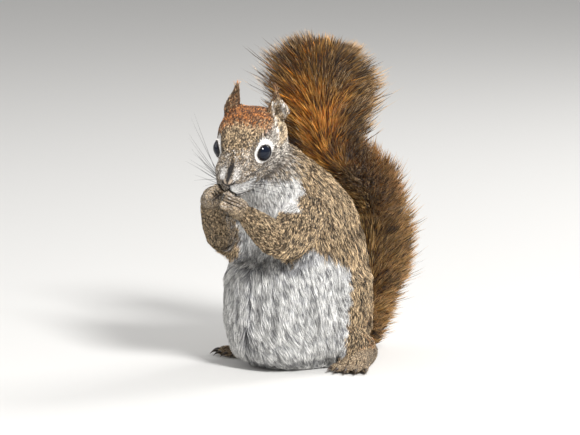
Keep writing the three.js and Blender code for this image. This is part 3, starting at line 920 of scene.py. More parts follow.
coatLook = {  # length, width and lift in mm, and how many to a square mm
    "head": {"length": 2.8, "width": 0.22, "lift": 1.0, "perMm2": 16},
    "ear": {"length": 1.7, "width": 0.15, "lift": 0.6, "perMm2": 14},
    "neck": {"length": 4.8, "width": 0.26, "lift": 2.0, "perMm2": 10},
    "chest": {"length": 5.6, "width": 0.27, "lift": 2.2, "perMm2": 8.5},
    "abdomen": {"length": 10, "width": 0.26, "lift": 3.2, "perMm2": 7.8},
    "rump": {"length": 11, "width": 0.26, "lift": 3.3, "perMm2": 7.6},
    "upper_arm": {"length": 3.8, "width": 0.26, "lift": 1.7, "perMm2": 9.5},
    "forearm": {"length": 2.8, "width": 0.22, "lift": 1.1, "perMm2": 11.5},
    "hand": {"length": 1.1, "width": 0.14, "lift": 0.3, "perMm2": 22},
    "thigh": {"length": 5.0, "width": 0.27, "lift": 2.1, "perMm2": 9.5},
    "shank": {"length": 4.0, "width": 0.24, "lift": 1.4, "perMm2": 7},
    "foot": {"length": 1.9, "width": 0.18, "lift": 0.45, "perMm2": 7.4},
}
coatLook["eye"] = coatLook["nose"] = coatLook["head"]
faceCoat = {  # shares of the values above
    "atNose": 0.3, "whole": (1, 24),  # the length at the nose, and mm back from it where it is whole
    "atLids": 0.2, "fromLids": (8, 60),  # the same at the lids, in degrees
    "eyeReach": 11,
    "muzzle": 0.55, "muzzleBack": 3.5,  # shorter again on the muzzle, up to this many mm back
    "width": (0.55, 0.45),  # of the width in the shortest coat, and more in the longest
    "denser": 0.9,
    "pad": (2.9, 1.7, 2.3), "padDown": 0.3,  # the nose pad is bare: mm out, back, and up or down
    "mouthBare": 0.9, "mouthBack": 8,
}
tuftLook = {
    "at": (0, 0.3, 0.7, 1), "width": (0, 1, 0.72, 0),  # along the tuft
    "lengths": (0.62, 1.08), "lifts": (0.45, 1.1), "widths": (0.6, 1.15),  # from the least to the most
    "guard": 0.06, "guardLength": 1.25, "guardWidth": 0.7,  # the share of longer, thinner guard hairs
    "roll": 38, "stray": 11, "swirl": 12,  # degrees
    "patch": 0.003, "floor": 0.25,
    "ownShade": 0.16,  # share of tufts whose shade isn't their stroke's
    "pull": 0.62,  # of the way to the middle of the stroke, at the tip
    "pulls": (0.4, 1), "lockPulls": (0.5, 1), "pullCurve": 1.6,  # how that varies, and sets in along the tuft
}


def faceGrowth():  # the share of its length that the coat has, shortest at the nose and round the eyes
    look = faceCoat
    growth = look["atNose"] + (1 - look["atNose"]) * ramp(places[:, 1], *look["whole"])
    growth = np.where(onHead, growth, 1)
    for side in bothSides:
        fromGaze, opening, _ = eyeAngles(points, side)
        beside = look["atLids"] + (1 - look["atLids"]) * ramp(fromGaze - opening, *look["fromLids"])
        growth = np.where(fromEye(side) < look["eyeReach"], np.minimum(growth, beside), growth)
    return growth * np.where(onHead & (places[:, 1] < look["muzzleBack"]), look["muzzle"], 1)


def bareShare():  # 0 where no coat grows, and little in the mouth and between the fingers
    look = faceCoat
    out, back, up = look["pad"]
    bare = (places[:, 1] < back) & (np.abs(places[:, 0]) < out)
    bare &= np.abs(places[:, 2] + look["padDown"]) < up
    bare |= regions == "tail"
    for side in bothSides:
        bare |= (fromEye(side) < look["eyeReach"]) & (fromLids(side)[0] < lidMarks["rim"])
    mouth = mouthMask(places) * (places[:, 1] < look["mouthBack"])
    return np.where(bare, 0, 1 - look["mouthBare"] * np.maximum(mouth, digitGrooves(points)))


def coatFields():
    fields = {"bend": bend}
    for key in ("length", "width", "lift", "perMm2"):
        values = np.array([coatLook[region][key] if region in coatLook else 0 for region in regions], float)
        fields[key] = spread(values, edges, 10)
    growth = faceGrowth()
    least, more = faceCoat["width"]
    fields["length"] = fields["length"] * growth
    fields["lift"] = fields["lift"] * growth
    fields["width"] = fields["width"] * (least + more * growth)
    denser = np.where(onHead, 1 + faceCoat["denser"] - faceCoat["denser"] * growth, 1)
    fields["perMm2"] = fields["perMm2"] * denser * bareShare()
    for side in bothSides:
        tip = (owners == f"ear_{side}") * ramp(earPlaces(points, side)[0], 0.55, 0.8)
        fields["length"] = fields["length"] + earLook["tipHair"] * tip
        fields["lift"] = fields["lift"] + earLook["tipLift"] * tip
        fields["width"] = fields["width"] + earLook["tipWidth"] * tip
        fields["bend"] = fields["bend"] * (1 - tip)
    return fields


def unwrap(faces):  # an unwrap of these faces of the skin: a place on it for each corner
    used, corners = np.unique(triangles[faces], return_inverse=True)
    mesh = makeMesh("unwrap", points[used], corners.reshape(-1, 3))
    thing = addObject("unwrap", mesh)
    bpy.context.view_layer.objects.active = thing
    mesh.uv_layers.new(name="OFBake")
    bpy.ops.object.mode_set(mode="EDIT")
    bpy.ops.mesh.select_all(action="SELECT")
    bpy.ops.uv.smart_project(angle_limit=math.radians(70), island_margin=0.006)
    bpy.ops.object.mode_set(mode="OBJECT")
    spots = np.empty(len(faces) * 6)
    mesh.uv_layers["OFBake"].data.foreach_get("uv", spots)
    bpy.data.objects.remove(thing)
    bpy.data.meshes.remove(mesh)
    return spots.reshape(-1, 3, 2)


def growRoots(faces, density, rng):  # even over the faces, more where the coat is denser
    a, b, c = (points[triangles[faces, k]] for k in range(3))
    area = np.linalg.norm(np.cross(b - a, c - a), axis=1) / 2 / mm**2
    wanted = np.cumsum(area * density[triangles[faces]].mean(axis=1))
    count = int(wanted[-1])
    steps = (np.arange(count) + rng.random(count)) * (wanted[-1] / count)
    face = np.searchsorted(wanted, steps).clip(0, len(faces) - 1)
    first, second = rng.random((2, count))
    over = first + second > 1
    first, second = np.where(over, 1 - first, first), np.where(over, 1 - second, second)
    return face, np.stack([1 - first - second, first, second], axis=1)


def turned(vectors, axes, angles):  # vectors turned about axes square to them
    return vectors * np.cos(angles)[:, None] + np.cross(axes, vectors) * np.sin(angles)[:, None]


def cells(roots, size):  # which small cell of space each root is in
    shifted = roots / size + 0.35 * np.sin(roots[:, [1, 2, 0]] / size * 2.1)
    numbers = np.floor(shifted).astype(np.int64) @ 4096 ** np.arange(3)
    return np.unique(numbers, return_inverse=True)[1]


def gather(centres, along, cell, share, power):  # draws the tips of the tufts in each cell together
    count = np.bincount(cell)[:, None]
    tips = centres[-1]
    middle = np.stack([np.bincount(cell, tips[:, axis]) for axis in range(3)], axis=1) / count
    pull = (middle[cell] - tips) * share[:, None]
    return [centre + pull * at**power for centre, at in zip(centres, along)]


def sharedShade(cell, ownShare, rng):  # one random value for a tuft, shared by most of its cell
    shared = rng.random(cell.max() + 1)[cell]
    own = rng.random(len(cell))
    return np.where(own < ownShare, own / ownShare, shared)


def bladeMesh(name, centres, sides, spots, values, at=tuftLook["at"], shape=tuftLook["width"]):
    count, pairs = len(centres[0]), len(at) - 2
    rows, across, along = [centres[0]], [0], [0]
    for k in range(1, pairs + 1):
        rows += [centres[k] + sides[k], centres[k] - sides[k]]
        across += [shape[k], -shape[k]]
        along += [at[k], at[k]]
    rows, across, along = rows + [centres[-1]], across + [0], along + [1]
    blade = np.stack(rows, axis=1)
    blade[:, :, 2] = np.maximum(blade[:, :, 2], tuftLook["floor"] * mm)
    pattern = [(0, 1, 2)]
    for k in range(1, 2 * pairs - 2, 2):
        pattern += [(k, k + 2, k + 3), (k, k + 3, k + 1)]
    pattern.append((2 * pairs - 1, 2 * pairs + 1, 2 * pairs))
    faces = (np.arange(count)[:, None, None] * len(rows) + np.array(pattern)).reshape(-1, 3)
    mesh = makeMesh(name, blade.reshape(-1, 3), faces)
    half = tuftLook["patch"] / 2
    corners = np.stack([across, 2 * np.array(along) - 1], axis=1) * half
    patch = np.clip(spots, half, 1 - half)[:, None] + corners
    layer = mesh.uv_layers.new(name="OFBake")
    layer.data.foreach_set("uv", patch.reshape(-1, 2)[faces.ravel()].astype(np.float32).ravel())
    storeValues(mesh, "along", np.tile(along, count))
    for key, value in values.items():
        storeValues(mesh, key, np.repeat(value, len(rows)))
    return mesh


def growCoat(name, faces, stroke, lock, seed):
    rng = np.random.default_rng(seed)
    spots = unwrap(faces)
    face, share = growRoots(faces, fields["perMm2"], rng)
    corners = triangles[faces[face]]

    def onSkin(values):
        weights = share if values.ndim == 1 else share[:, :, None]
        return (values[corners] * weights).sum(axis=1)

    look, count = tuftLook, len(face)
    root, up = onSkin(points), unit(onSkin(normals))
    ahead = onSkin(lie)
    ahead = unit(ahead - up * np.sum(ahead * up, axis=1, keepdims=True))
    stray = rng.normal(0, look["stray"], count) + look["swirl"] * swirl(root)
    ahead = turned(ahead, up, np.radians(stray))
    length = onSkin(fields["length"]) * mm * rng.uniform(*look["lengths"], count)
    lift = onSkin(fields["lift"]) * mm * rng.uniform(*look["lifts"], count)
    width = onSkin(fields["width"]) * mm * rng.uniform(*look["widths"], count) / 2
    guard = rng.random(count) < look["guard"]
    length = np.where(guard, length * look["guardLength"], length)
    width = np.where(guard, width * look["guardWidth"], width)
    curve = onSkin(fields["bend"])
    roll = np.radians(rng.normal(0, look["roll"], count))
    centres, sides = [], []
    for along, wide in zip(look["at"], look["width"]):
        reach = length * along
        turn = curve * reach
        localUp = unit(up + ahead * turn[:, None])
        height = lift * (1 - (1 - along) ** 2)
        centre = root + ahead * (reach * (1 - turn**2 / 6))[:, None] - up * (reach * turn / 2)[:, None]
        centres.append(centre + localUp * height[:, None])
        across = turned(unit(np.cross(ahead, localUp)), unit(ahead), roll)
        sides.append(across * (width * wide)[:, None])
    strokes, (size, strength) = cells(root, stroke * mm), lock
    pull = look["pull"] * rng.uniform(*look["pulls"], count)
    centres = gather(centres, look["at"], strokes, pull, look["pullCurve"])
    pull = strength * rng.uniform(*look["lockPulls"], count)
    centres = gather(centres, look["at"], cells(root, size * mm), pull, look["pullCurve"])
    spot = (spots[face] * share[:, :, None]).sum(axis=1)
    values = {key: onSkin(value) for key, value in marks.items()}
    values["shade"] = sharedShade(strokes, look["ownShade"], rng)
    coat = addObject(name, bladeMesh(name, centres, sides, spot, values), materials["fur"])
    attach(coat, "root")
    print(name, "has", count, "tufts")


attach(skin, "root")
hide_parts(*fleshNodes, *tailNodes)


# materials: hair is coloured from root to tip, and masks say which kind of hair grows where

def newGroup(name, numbers, colors=()):  # a node group with these inputs, which puts out a colour
    group = bpy.data.node_groups.new(name, "ShaderNodeTree")
    for labels, kind in ((colors, "NodeSocketColor"), (numbers, "NodeSocketFloat")):
        for label in labels:
            group.interface.new_socket(label, in_out="INPUT", socket_type=kind)
    group.interface.new_socket("Color", in_out="OUTPUT", socket_type="NodeSocketColor")
    given = group.nodes.new("NodeGroupInput").outputs
    return group, given, group.nodes.new("NodeGroupOutput").inputs["Color"]


def feed(tree, socket, source):  # a link, a number, or a colour's red, green and blue
    if isinstance(source, bpy.types.NodeSocket):
        tree.links.new(source, socket)
    else:
        socket.default_value = (*source, 1) if isinstance(source, tuple) else source


def calc(tree, operation, *sources):
    node = tree.nodes.new("ShaderNodeMath")
    node.operation = operation
    for socket, source in zip(node.inputs, sources):
        feed(tree, socket, source)
    return node.outputs[0]


def mapped(tree, value, low, high, toLow=0.0, toHigh=1.0):
    node = tree.nodes.new("ShaderNodeMapRange")
    node.interpolation_type = "SMOOTHSTEP"
    for socket, source in zip(node.inputs, (value, low, high, toLow, toHigh)):
        feed(tree, socket, source)
    return node.outputs[0]


def mixed(tree, share, first, second, way="MIX"):
    node = tree.nodes.new("ShaderNodeMix")
    node.data_type = "RGBA"
    node.blend_type = way
    feed(tree, node.inputs[0], share)
    feed(tree, node.inputs[6], first)
    feed(tree, node.inputs[7], second)
    return node.outputs[2]


def noise(tree, scale, detail=3.0, roughness=0.6, upright=1.0):  # upright under 1 draws it out up and down
    place = tree.nodes.new("ShaderNodeTexCoord").outputs["Object"]
    if upright != 1:
        stretch = tree.nodes.new("ShaderNodeVectorMath")
        stretch.operation = "MULTIPLY"
        tree.links.new(place, stretch.inputs[0])
        stretch.inputs[1].default_value = (1, 1, upright)
        place = stretch.outputs[0]
    node = tree.nodes.new("ShaderNodeTexNoise")
    tree.links.new(place, node.inputs["Vector"])
    node.inputs["Scale"].default_value = scale
    node.inputs["Detail"].default_value = detail
    node.inputs["Roughness"].default_value = roughness
    return node.outputs["Fac"]


def placed(tree, group, **sources):
    node = tree.nodes.new("ShaderNodeGroup")
    node.node_tree = group
    for label, source in sources.items():
        feed(tree, node.inputs[label], source)
    return node.outputs[0]


def attribute(tree, name):
    node = tree.nodes.new("ShaderNodeAttribute")
    node.attribute_name = name
    return node.outputs["Fac"]


def attributes(tree, *labels):
    return {label: attribute(tree, label.lower()) for label in labels}


def scrambled(tree, value, times):  # another random value made from one
    return calc(tree, "FRACT", calc(tree, "MULTIPLY", value, times))


def centred(tree, value, width):  # a value from 0 to 1, moved to lie round 0
    return calc(tree, "MULTIPLY", calc(tree, "SUBTRACT", value, 0.5), width)


# linear colours of each kind of hair at its root, its middle and its tip, and of its dark tips;
# then the share of hairs with dark tips, and the darkest tone
hairKinds = {
    "back": ((0.024, 0.02, 0.018), (0.17, 0.11, 0.055), (0.84, 0.62, 0.37), (0.014, 0.011, 0.009), 0.42, 0.5),
    "rust": ((0.03, 0.018, 0.013), (0.24, 0.076, 0.017), (0.74, 0.29, 0.075), (0.012, 0.008, 0.007), 0.5, 0.45),
    "cheek": ((0.05, 0.045, 0.04), (0.3, 0.255, 0.21), (0.97, 0.9, 0.8), (0.022, 0.018, 0.015), 0.36, 0.5),
    "buff": ((0.06, 0.045, 0.03), (0.36, 0.25, 0.15), (0.9, 0.72, 0.48), (0.02, 0.014, 0.01), 0.3, 0.5),
    "white": ((0.05, 0.05, 0.056), (0.42, 0.42, 0.43), (0.87, 0.86, 0.83), (0.22, 0.215, 0.22), 0.13, 0.62),
    "ring": ((0.5, 0.47, 0.44), (0.88, 0.86, 0.83), (0.95, 0.93, 0.9), (0.8, 0.77, 0.73), 0.1, 0.85),
    "dark": ((0.014, 0.011, 0.01), (0.018, 0.014, 0.012), (0.03, 0.022, 0.018), (0.01, 0.008, 0.007), 0.5, 0.5),
    "orange": ((0.3, 0.08, 0.006), (0.95, 0.33, 0.025), (1.0, 0.5, 0.1), (0.09, 0.024, 0.005), 0.3, 0.34),
    "ochre": ((0.24, 0.1, 0.02), (0.66, 0.34, 0.08), (0.92, 0.6, 0.23), (0.04, 0.02, 0.01), 0.3, 0.35),
}
hairColors, hairNumbers = ("Root", "Middle", "Tip", "Dark Tip"), ("Dark Share", "Low Tone")
hairLook = {
    "middle": (0.1, 0.5), "tip": (0.45, 0.8),  # shares of the hair, where its middle and its tip come in
    "highTone": 1.3,
}


def makeHairBands():
    group, given, result = newGroup("hairBands", ("Along", "Shade", *hairNumbers), hairColors)
    isDark = calc(group, "LESS_THAN", given["Shade"], given["Dark Share"])
    tipColor = mixed(group, isDark, given["Tip"], given["Dark Tip"])
    lower = mixed(group, mapped(group, given["Along"], *hairLook["middle"]), given["Root"], given["Middle"])
    whole = mixed(group, mapped(group, given["Along"], *hairLook["tip"]), lower, tipColor)
    tone = scrambled(group, given["Shade"], 17.3)
    tone = mapped(group, tone, 0.0, 1.0, given["Low Tone"], hairLook["highTone"])
    feed(group, result, mixed(group, 1.0, whole, tone, "MULTIPLY"))
    return group


def hairOf(kind, tree, bands, along, shade):
    values = dict(zip(hairColors + hairNumbers, hairKinds[kind]))
    return placed(tree, bands, Along=along, Shade=shade, **values)


coatLayers = ("Cheek", "Rust", "Buff", "White", "Ring", "Dark")  # each one over those before it
coatMix = {
    "waver": 0.5, "blotch": 0.5, "blotchScale": 160,  # how far a mark's edge wanders
    "edge": (0.3, 0.7), "least": (0.02, 0.15),
    "streakScale": 260, "streakLong": 0.3,  # grey where the white locks part
    "streak": (0.35, 0.55, 0.56, 1.04),
}


def makeCoatColor(bands):
    look = coatMix
    group, given, result = newGroup("coatColor", ("Along", "Shade", *coatLayers))
    waver = centred(group, scrambled(group, given["Shade"], 5.7), look["waver"])
    blotch = centred(group, noise(group, look["blotchScale"]), look["blotch"])
    color = hairOf("back", group, bands, given["Along"], given["Shade"])
    for label in coatLayers:
        wandering = calc(group, "ADD", calc(group, "ADD", given[label], waver), blotch)
        share = mapped(group, wandering, *look["edge"])
        share = calc(group, "MULTIPLY", share, mapped(group, given[label], *look["least"]))
        hair = hairOf(label.lower(), group, bands, given["Along"], given["Shade"])
        if label == "White":
            streak = noise(group, look["streakScale"], upright=look["streakLong"])
            hair = mixed(group, 1.0, hair, mapped(group, streak, *look["streak"]), "MULTIPLY")
        color = mixed(group, share, color, hair)
    feed(group, result, color)
    return group


tailBand = {
    "black": (0.014, 0.01, 0.008), "gold": (0.74, 0.36, 0.1), "cream": (0.82, 0.6, 0.34),
    "start": (0.5, 0.62), "waver": 0.2,  # shares of the hair, where the black starts and how far that wanders
    "frost": (0.88, 0.96), "frostLower": 0.07,  # where the pale tip starts, and how much sooner low down
    "frosted": (0.56, 0.66, 0.05, 1.0),  # how few hairs of the fan have the pale tip
    "lowerGold": 0.4,
}


def makeTailColor(bands):
    look = tailBand
    group, given, result = newGroup("tailColor", ("Along", "Shade", "Lower", "Band"))
    shade, isLower, isBanded = given["Shade"], given["Lower"], given["Band"]
    second = scrambled(group, shade, 9.1)
    along = calc(group, "ADD", given["Along"], centred(group, second, look["waver"]))
    orange, ochre = (hairOf(kind, group, bands, along, shade) for kind in ("orange", "ochre"))
    black = calc(group, "MULTIPLY", mapped(group, along, *look["start"]), isBanded)
    banded = mixed(group, black, mixed(group, isLower, orange, ochre), look["black"])
    pale = mixed(group, second, look["gold"], look["cream"])
    tip = mixed(group, calc(group, "MULTIPLY", isLower, look["lowerGold"]), pale, look["gold"])
    nearTip = calc(group, "ADD", along, calc(group, "MULTIPLY", isLower, look["frostLower"]))
    frost = mapped(group, nearTip, *look["frost"])
    frost = calc(group, "MULTIPLY", frost, mapped(group, isBanded, 0.0, 0.6, 0.0, 0.95))
    some = calc(group, "ADD", scrambled(group, shade, 23.9), isLower)
    frost = calc(group, "MULTIPLY", frost, mapped(group, some, *look["frosted"]))
    feed(group, result, mixed(group, frost, banded, tip))
    return group


finishes = {
    "fur": {"Roughness": 0.55, "Specular IOR Level": 0.35, "Sheen Weight": 0.15},
    "tailHair": {"Roughness": 0.45, "Specular IOR Level": 0.4, "Sheen Weight": 0.15},
    "hide": {"Roughness": 0.75},
    "eye": {"Roughness": 0.05, "IOR": 1.36},
    "noseLeather": {"Roughness": 0.4, "Coat Weight": 0.25, "Coat Roughness": 0.25},
    "claw": {"Roughness": 0.35},
    "whisker": {"Roughness": 0.35},
    "floor": {"Roughness": 0.8, "Base Color": (0.72, 0.71, 0.69, 1)},
}
materials = {}


def newMaterial(name):  # the material's nodes, and the inputs of its shader
    material = bpy.data.materials.new(name)
    material.use_nodes = True
    shader = material.node_tree.nodes["Principled BSDF"]
    for label, value in finishes[name].items():
        shader.inputs[label].default_value = value
    materials[name] = material
    return material.node_tree, shader.inputs


def bump(tree, into, height, strength, distance):
    node = tree.nodes.new("ShaderNodeBump")
    tree.links.new(height, node.inputs["Height"])
    node.inputs["Strength"].default_value = strength
    node.inputs["Distance"].default_value = distance
    tree.links.new(node.outputs["Normal"], into["Normal"])


def makeFur(coatColor):
    tree, into = newMaterial("fur")
    feed(tree, into["Base Color"], placed(tree, coatColor, **attributes(tree, "Along", "Shade", *coatLayers)))


def makeTailHair(tailColor):
    tree, into = newMaterial("tailHair")
    sources = attributes(tree, "Along", "Shade", "Lower", "Band")
    feed(tree, into["Base Color"], placed(tree, tailColor, **sources))


def makeHide(coatColor):  # the skin, as short hair between the tufts
    tree, into = newMaterial("hide")
    grain = noise(tree, 2600, 2.0)
    sources = {"Along": mapped(tree, grain, 0.3, 0.7, 0.1, 0.6), "Shade": noise(tree, 1900, 1.0)}
    feed(tree, into["Base Color"], placed(tree, coatColor, **sources, **attributes(tree, *coatLayers)))
    bump(tree, into, grain, 0.5, 0.0003)


def makeEyeGloss():
    tree, into = newMaterial("eye")
    rim = mapped(tree, attribute(tree, "gaze"), 0.72, 0.86)
    iris = mixed(tree, noise(tree, 900, 2.0), (0.005, 0.005, 0.007), (0.014, 0.01, 0.01))
    # the middle of the open eye is tinted dark blue: a painted reflection of blue sky
    feed(tree, into["Base Color"], mixed(tree, rim, iris, (0.004, 0.007, 0.016)))


def makeNoseLeather():
    tree, into = newMaterial("noseLeather")
    leather = mixed(tree, noise(tree, 700), (0.1, 0.066, 0.05), (0.34, 0.235, 0.17))
    shortHair = mixed(tree, noise(tree, 2400), (0.1, 0.075, 0.055), (0.62, 0.5, 0.38))
    surface = mixed(tree, attribute(tree, "furred"), leather, shortHair)
    # near black where hollow says: painted shade in the slits and under the pad, and the dark stripe
    feed(tree, into["Base Color"], mixed(tree, attribute(tree, "hollow"), surface, (0.01, 0.007, 0.006)))
    pebbles = tree.nodes.new("ShaderNodeTexVoronoi")
    tree.links.new(tree.nodes.new("ShaderNodeTexCoord").outputs["Object"], pebbles.inputs["Vector"])
    pebbles.inputs["Scale"].default_value = 3200
    bump(tree, into, pebbles.outputs["Distance"], 0.5, 0.0002)


def makeClawHorn():
    tree, into = newMaterial("claw")
    tone = mixed(tree, attribute(tree, "along"), (0.03, 0.02, 0.016), (0.14, 0.1, 0.07))
    feed(tree, into["Base Color"], mixed(tree, noise(tree, 1500), tone, (0.02, 0.014, 0.012)))
    bump(tree, into, noise(tree, 2500), 0.2, 0.0001)


def makeWhiskerHair():
    tree, into = newMaterial("whisker")
    tone = mixed(tree, attribute(tree, "along"), (0.012, 0.01, 0.009), (0.05, 0.04, 0.035))
    feed(tree, into["Base Color"], mixed(tree, noise(tree, 400), tone, (0.01, 0.008, 0.007)))


print("materials")
hairBands = makeHairBands()
coatColor = makeCoatColor(hairBands)
makeFur(coatColor)
makeHide(coatColor)
makeTailHair(makeTailColor(hairBands))
makeEyeGloss()
makeNoseLeather()
makeClawHorn()
makeWhiskerHair()
skin.data.materials.clear()
skin.data.materials.append(materials["hide"])
shadeSmooth(skin.data)


# the body's coat, in pieces

faceCoatEnd = 22  # mm back from the nose, where the face's coat meets the head's
coatPieces = {  # its regions and slot, the size of a stroke, and the size and strength of the locks
    "coatFace": (headRegions, "coat", 0.62, (1.2, 0.1)),
    "coatHead": (headRegions, "coat", 0.74, (1.6, 0.15)),
    "coatEars": (("ear",), "coat", 0.55, (1.4, 0.2)),
    "coatNeck": (("neck",), "coat", 0.6, (2.4, 0.2)),
    "coatChest": (("chest",), "coat", 0.6, (2.6, 0.2)),
    "coatBelly": (("abdomen",), "underside", 1.0, (5.2, 0.62)),
    "coatRump": (("rump",), "underside", 1.0, (5.8, 0.66)),
    "coatUpperArms": (("upper_arm",), "coat", 0.58, (2.2, 0.2)),
    "coatForearms": (("forearm",), "coat", 0.52, (1.8, 0.2)),
    "coatHands": (("hand",), "paws", 0.5, (1.0, 0.1)),
    "coatThighs": (("thigh",), "coat", 0.6, (2.4, 0.2)),
    "coatFeet": (("shank", "foot"), "paws", 0.6, (1.4, 0.15)),
}


def coatFaces(name, names):  # the faces of the skin that a piece of the coat grows on
    corner = triangles[:, 0]
    chosen = np.isin(regions[corner], names)
    if names == headRegions:
        chosen &= (places[corner, 1] < faceCoatEnd) == (name == "coatFace")
    return np.flatnonzero(chosen)


print("coat")
fields = coatFields()
for seed, (name, (names, slot, stroke, lock)) in enumerate(coatPieces.items()):
    growCoat(name, coatFaces(name, names), stroke, lock, seed)


# the tail's long hair

tailCoat = {
    "pieces": 4,
    "hairs": 14000,  # in each piece
    "fan": (0.42, 0.6),  # shares of the tail, where its fan starts and is whole
    "forward": (4, 13), "whole": 0.3,  # mm from root to tip along the tail, at its base and past this share
    "lengths": (0.75, 1.1), "locked": (0.85, 0.3),  # how much that varies between hairs, and between locks
    "room": (0.62, 1.0),  # of what is left of the tail, for the hairs near its end
    "width": 0.36, "widths": (0.6, 1.2),
    "flat": 0.5,  # hairs to the front and back for each one to the sides
    "wide": (0.55, 0.9),  # of the widest, where the coat counts as wide
    "reach": (0.45, 1.1), "lockReach": (0.78, 0.31),  # of the way out to the coat's edge
    "at": (0, 0.25, 0.55, 0.8, 1), "shape": (0, 1, 1, 0.75, 0),
    "bow": 0.1, "drag": 0.06, "stray": 0.03,  # of its length, how far a hair's middle is out, back and astray
    "locks": (100, 34),  # along the tail and around it
    "ownShade": 0.34, "pull": (0.1, 0.6),
    "stragglers": 0.07, "straggle": 1.2, "straggleFrom": 0.9,  # how many stand out, by how much, and at least
    "turn": 0.1, "roll": 0.8,  # radians that a hair strays round the tail, and about its own length
    "crease": ((98, 7, -0.22), (114, 9, 0.12)),  # behind the bend: height, reach, and how much longer it is
    "shadowHeight": (84, 9),  # painted shadow where the tail bends behind the back: its height, and how far that spreads
    "dark": 0.95, "darkSides": 0.65, "darkBack": 0.55, "lowerBack": 0.6,  # how strong each band of colour is; dark is the painted shadow where the tail bends
}


def tailReach():  # how far the coat's edge is from the line, all round it
    tree = solidTree(tailNodes)[0]
    angles = np.arange(tailLook["aroundSteps"]) * 2 * math.pi / tailLook["aroundSteps"]
    reach = np.zeros((len(line), len(angles)))
    for i, (point, side, other) in enumerate(zip(line, tailSide, tailOther)):
        for j, angle in enumerate(angles):
            hit = tree.ray_cast(Vector(point), Vector(side * math.cos(angle) + other * math.sin(angle)))[0]
            reach[i, j] = (hit - Vector(point)).length if hit else 0
    beside = range(-tailLook["median"], tailLook["median"] + 1)
    typical = np.median(np.stack([np.roll(reach, shift, axis=0) for shift in beside]), axis=0)
    least, most = tailLook["outlier"]
    return np.where((reach < least * typical) | (reach > most * typical), typical, reach)


def sampled(grid, row, column):  # a grid of values, read between its rows and round its columns
    low = np.clip(np.floor(row).astype(int), 0, len(grid) - 2)
    first = np.floor(column).astype(int)
    rowShare, columnShare = np.clip(row - low, 0, 1), column - first
    wide = grid.shape[1]
    top = grid[low, first % wide] * (1 - columnShare) + grid[low, (first + 1) % wide] * columnShare
    under = grid[low + 1, first % wide] * (1 - columnShare) + grid[low + 1, (first + 1) % wide] * columnShare
    return top * (1 - rowShare) + under * rowShare


def onLine(rows, values):
    low = np.clip(np.floor(rows).astype(int), 0, len(values) - 2)
    share = (rows - low)[:, None]
    return values[low] * (1 - share) + values[low + 1] * share


def spoke(rows, angles):  # the way out from the line
    across = onLine(rows, tailSide) * np.cos(angles)[:, None]
    return across + onLine(rows, tailOther) * np.sin(angles)[:, None]


def hairLocks(root, angle):  # the lock that each hair belongs to
    alongLock, roundLock = tailCoat["locks"]
    lock = np.floor(root * alongLock + 0.8 * np.sin(angle * 3)) * roundLock * 2
    lock += np.floor(angle / (2 * math.pi) * roundLock + 0.4 * np.sin(root * 90))
    return np.unique(lock, return_inverse=True)[1]


def hairTips(root, angle, facesBack, lockTone, rng):  # how far along, round and out each hair ends
    look, count = tailCoat, len(root)
    low, high = look["forward"]
    least, more = look["locked"]
    forward = (low + (high - low) * ramp(root, 0, look["whole"])) * rng.uniform(*look["lengths"], count)
    forward = forward * (least + more * lockTone)
    room = (1 - root) * tailLength * rng.uniform(*look["room"], count)
    tip = root + np.minimum(forward, room) / tailLength
    out = angle + rng.normal(0, look["turn"], count)
    column = (out % (2 * math.pi)) / (2 * math.pi) * tailLook["aroundSteps"]
    lateral = sampled(tailWide, tip * tailSteps, column)
    nearest, farthest = look["reach"]
    least, more = look["lockReach"]
    share = nearest + (farthest - nearest) * rng.beta(2.2 + 2.2 * lateral, 1.3, count)
    share *= least + more * lockTone
    loose = rng.random(count) < look["stragglers"]
    share = np.where(loose, np.maximum(share, look["straggleFrom"]) * look["straggle"], share)
    height = onLine(tip * tailSteps, line)[:, 2] / mm
    crease = sum(more * hump(height, at, wide) for at, wide, more in look["crease"])
    far = sampled(tailEdge, tip * tailSteps, column) * share * (1 + 0.05 * lateral + crease * facesBack)
    return tip, out, far, lateral, share, loose


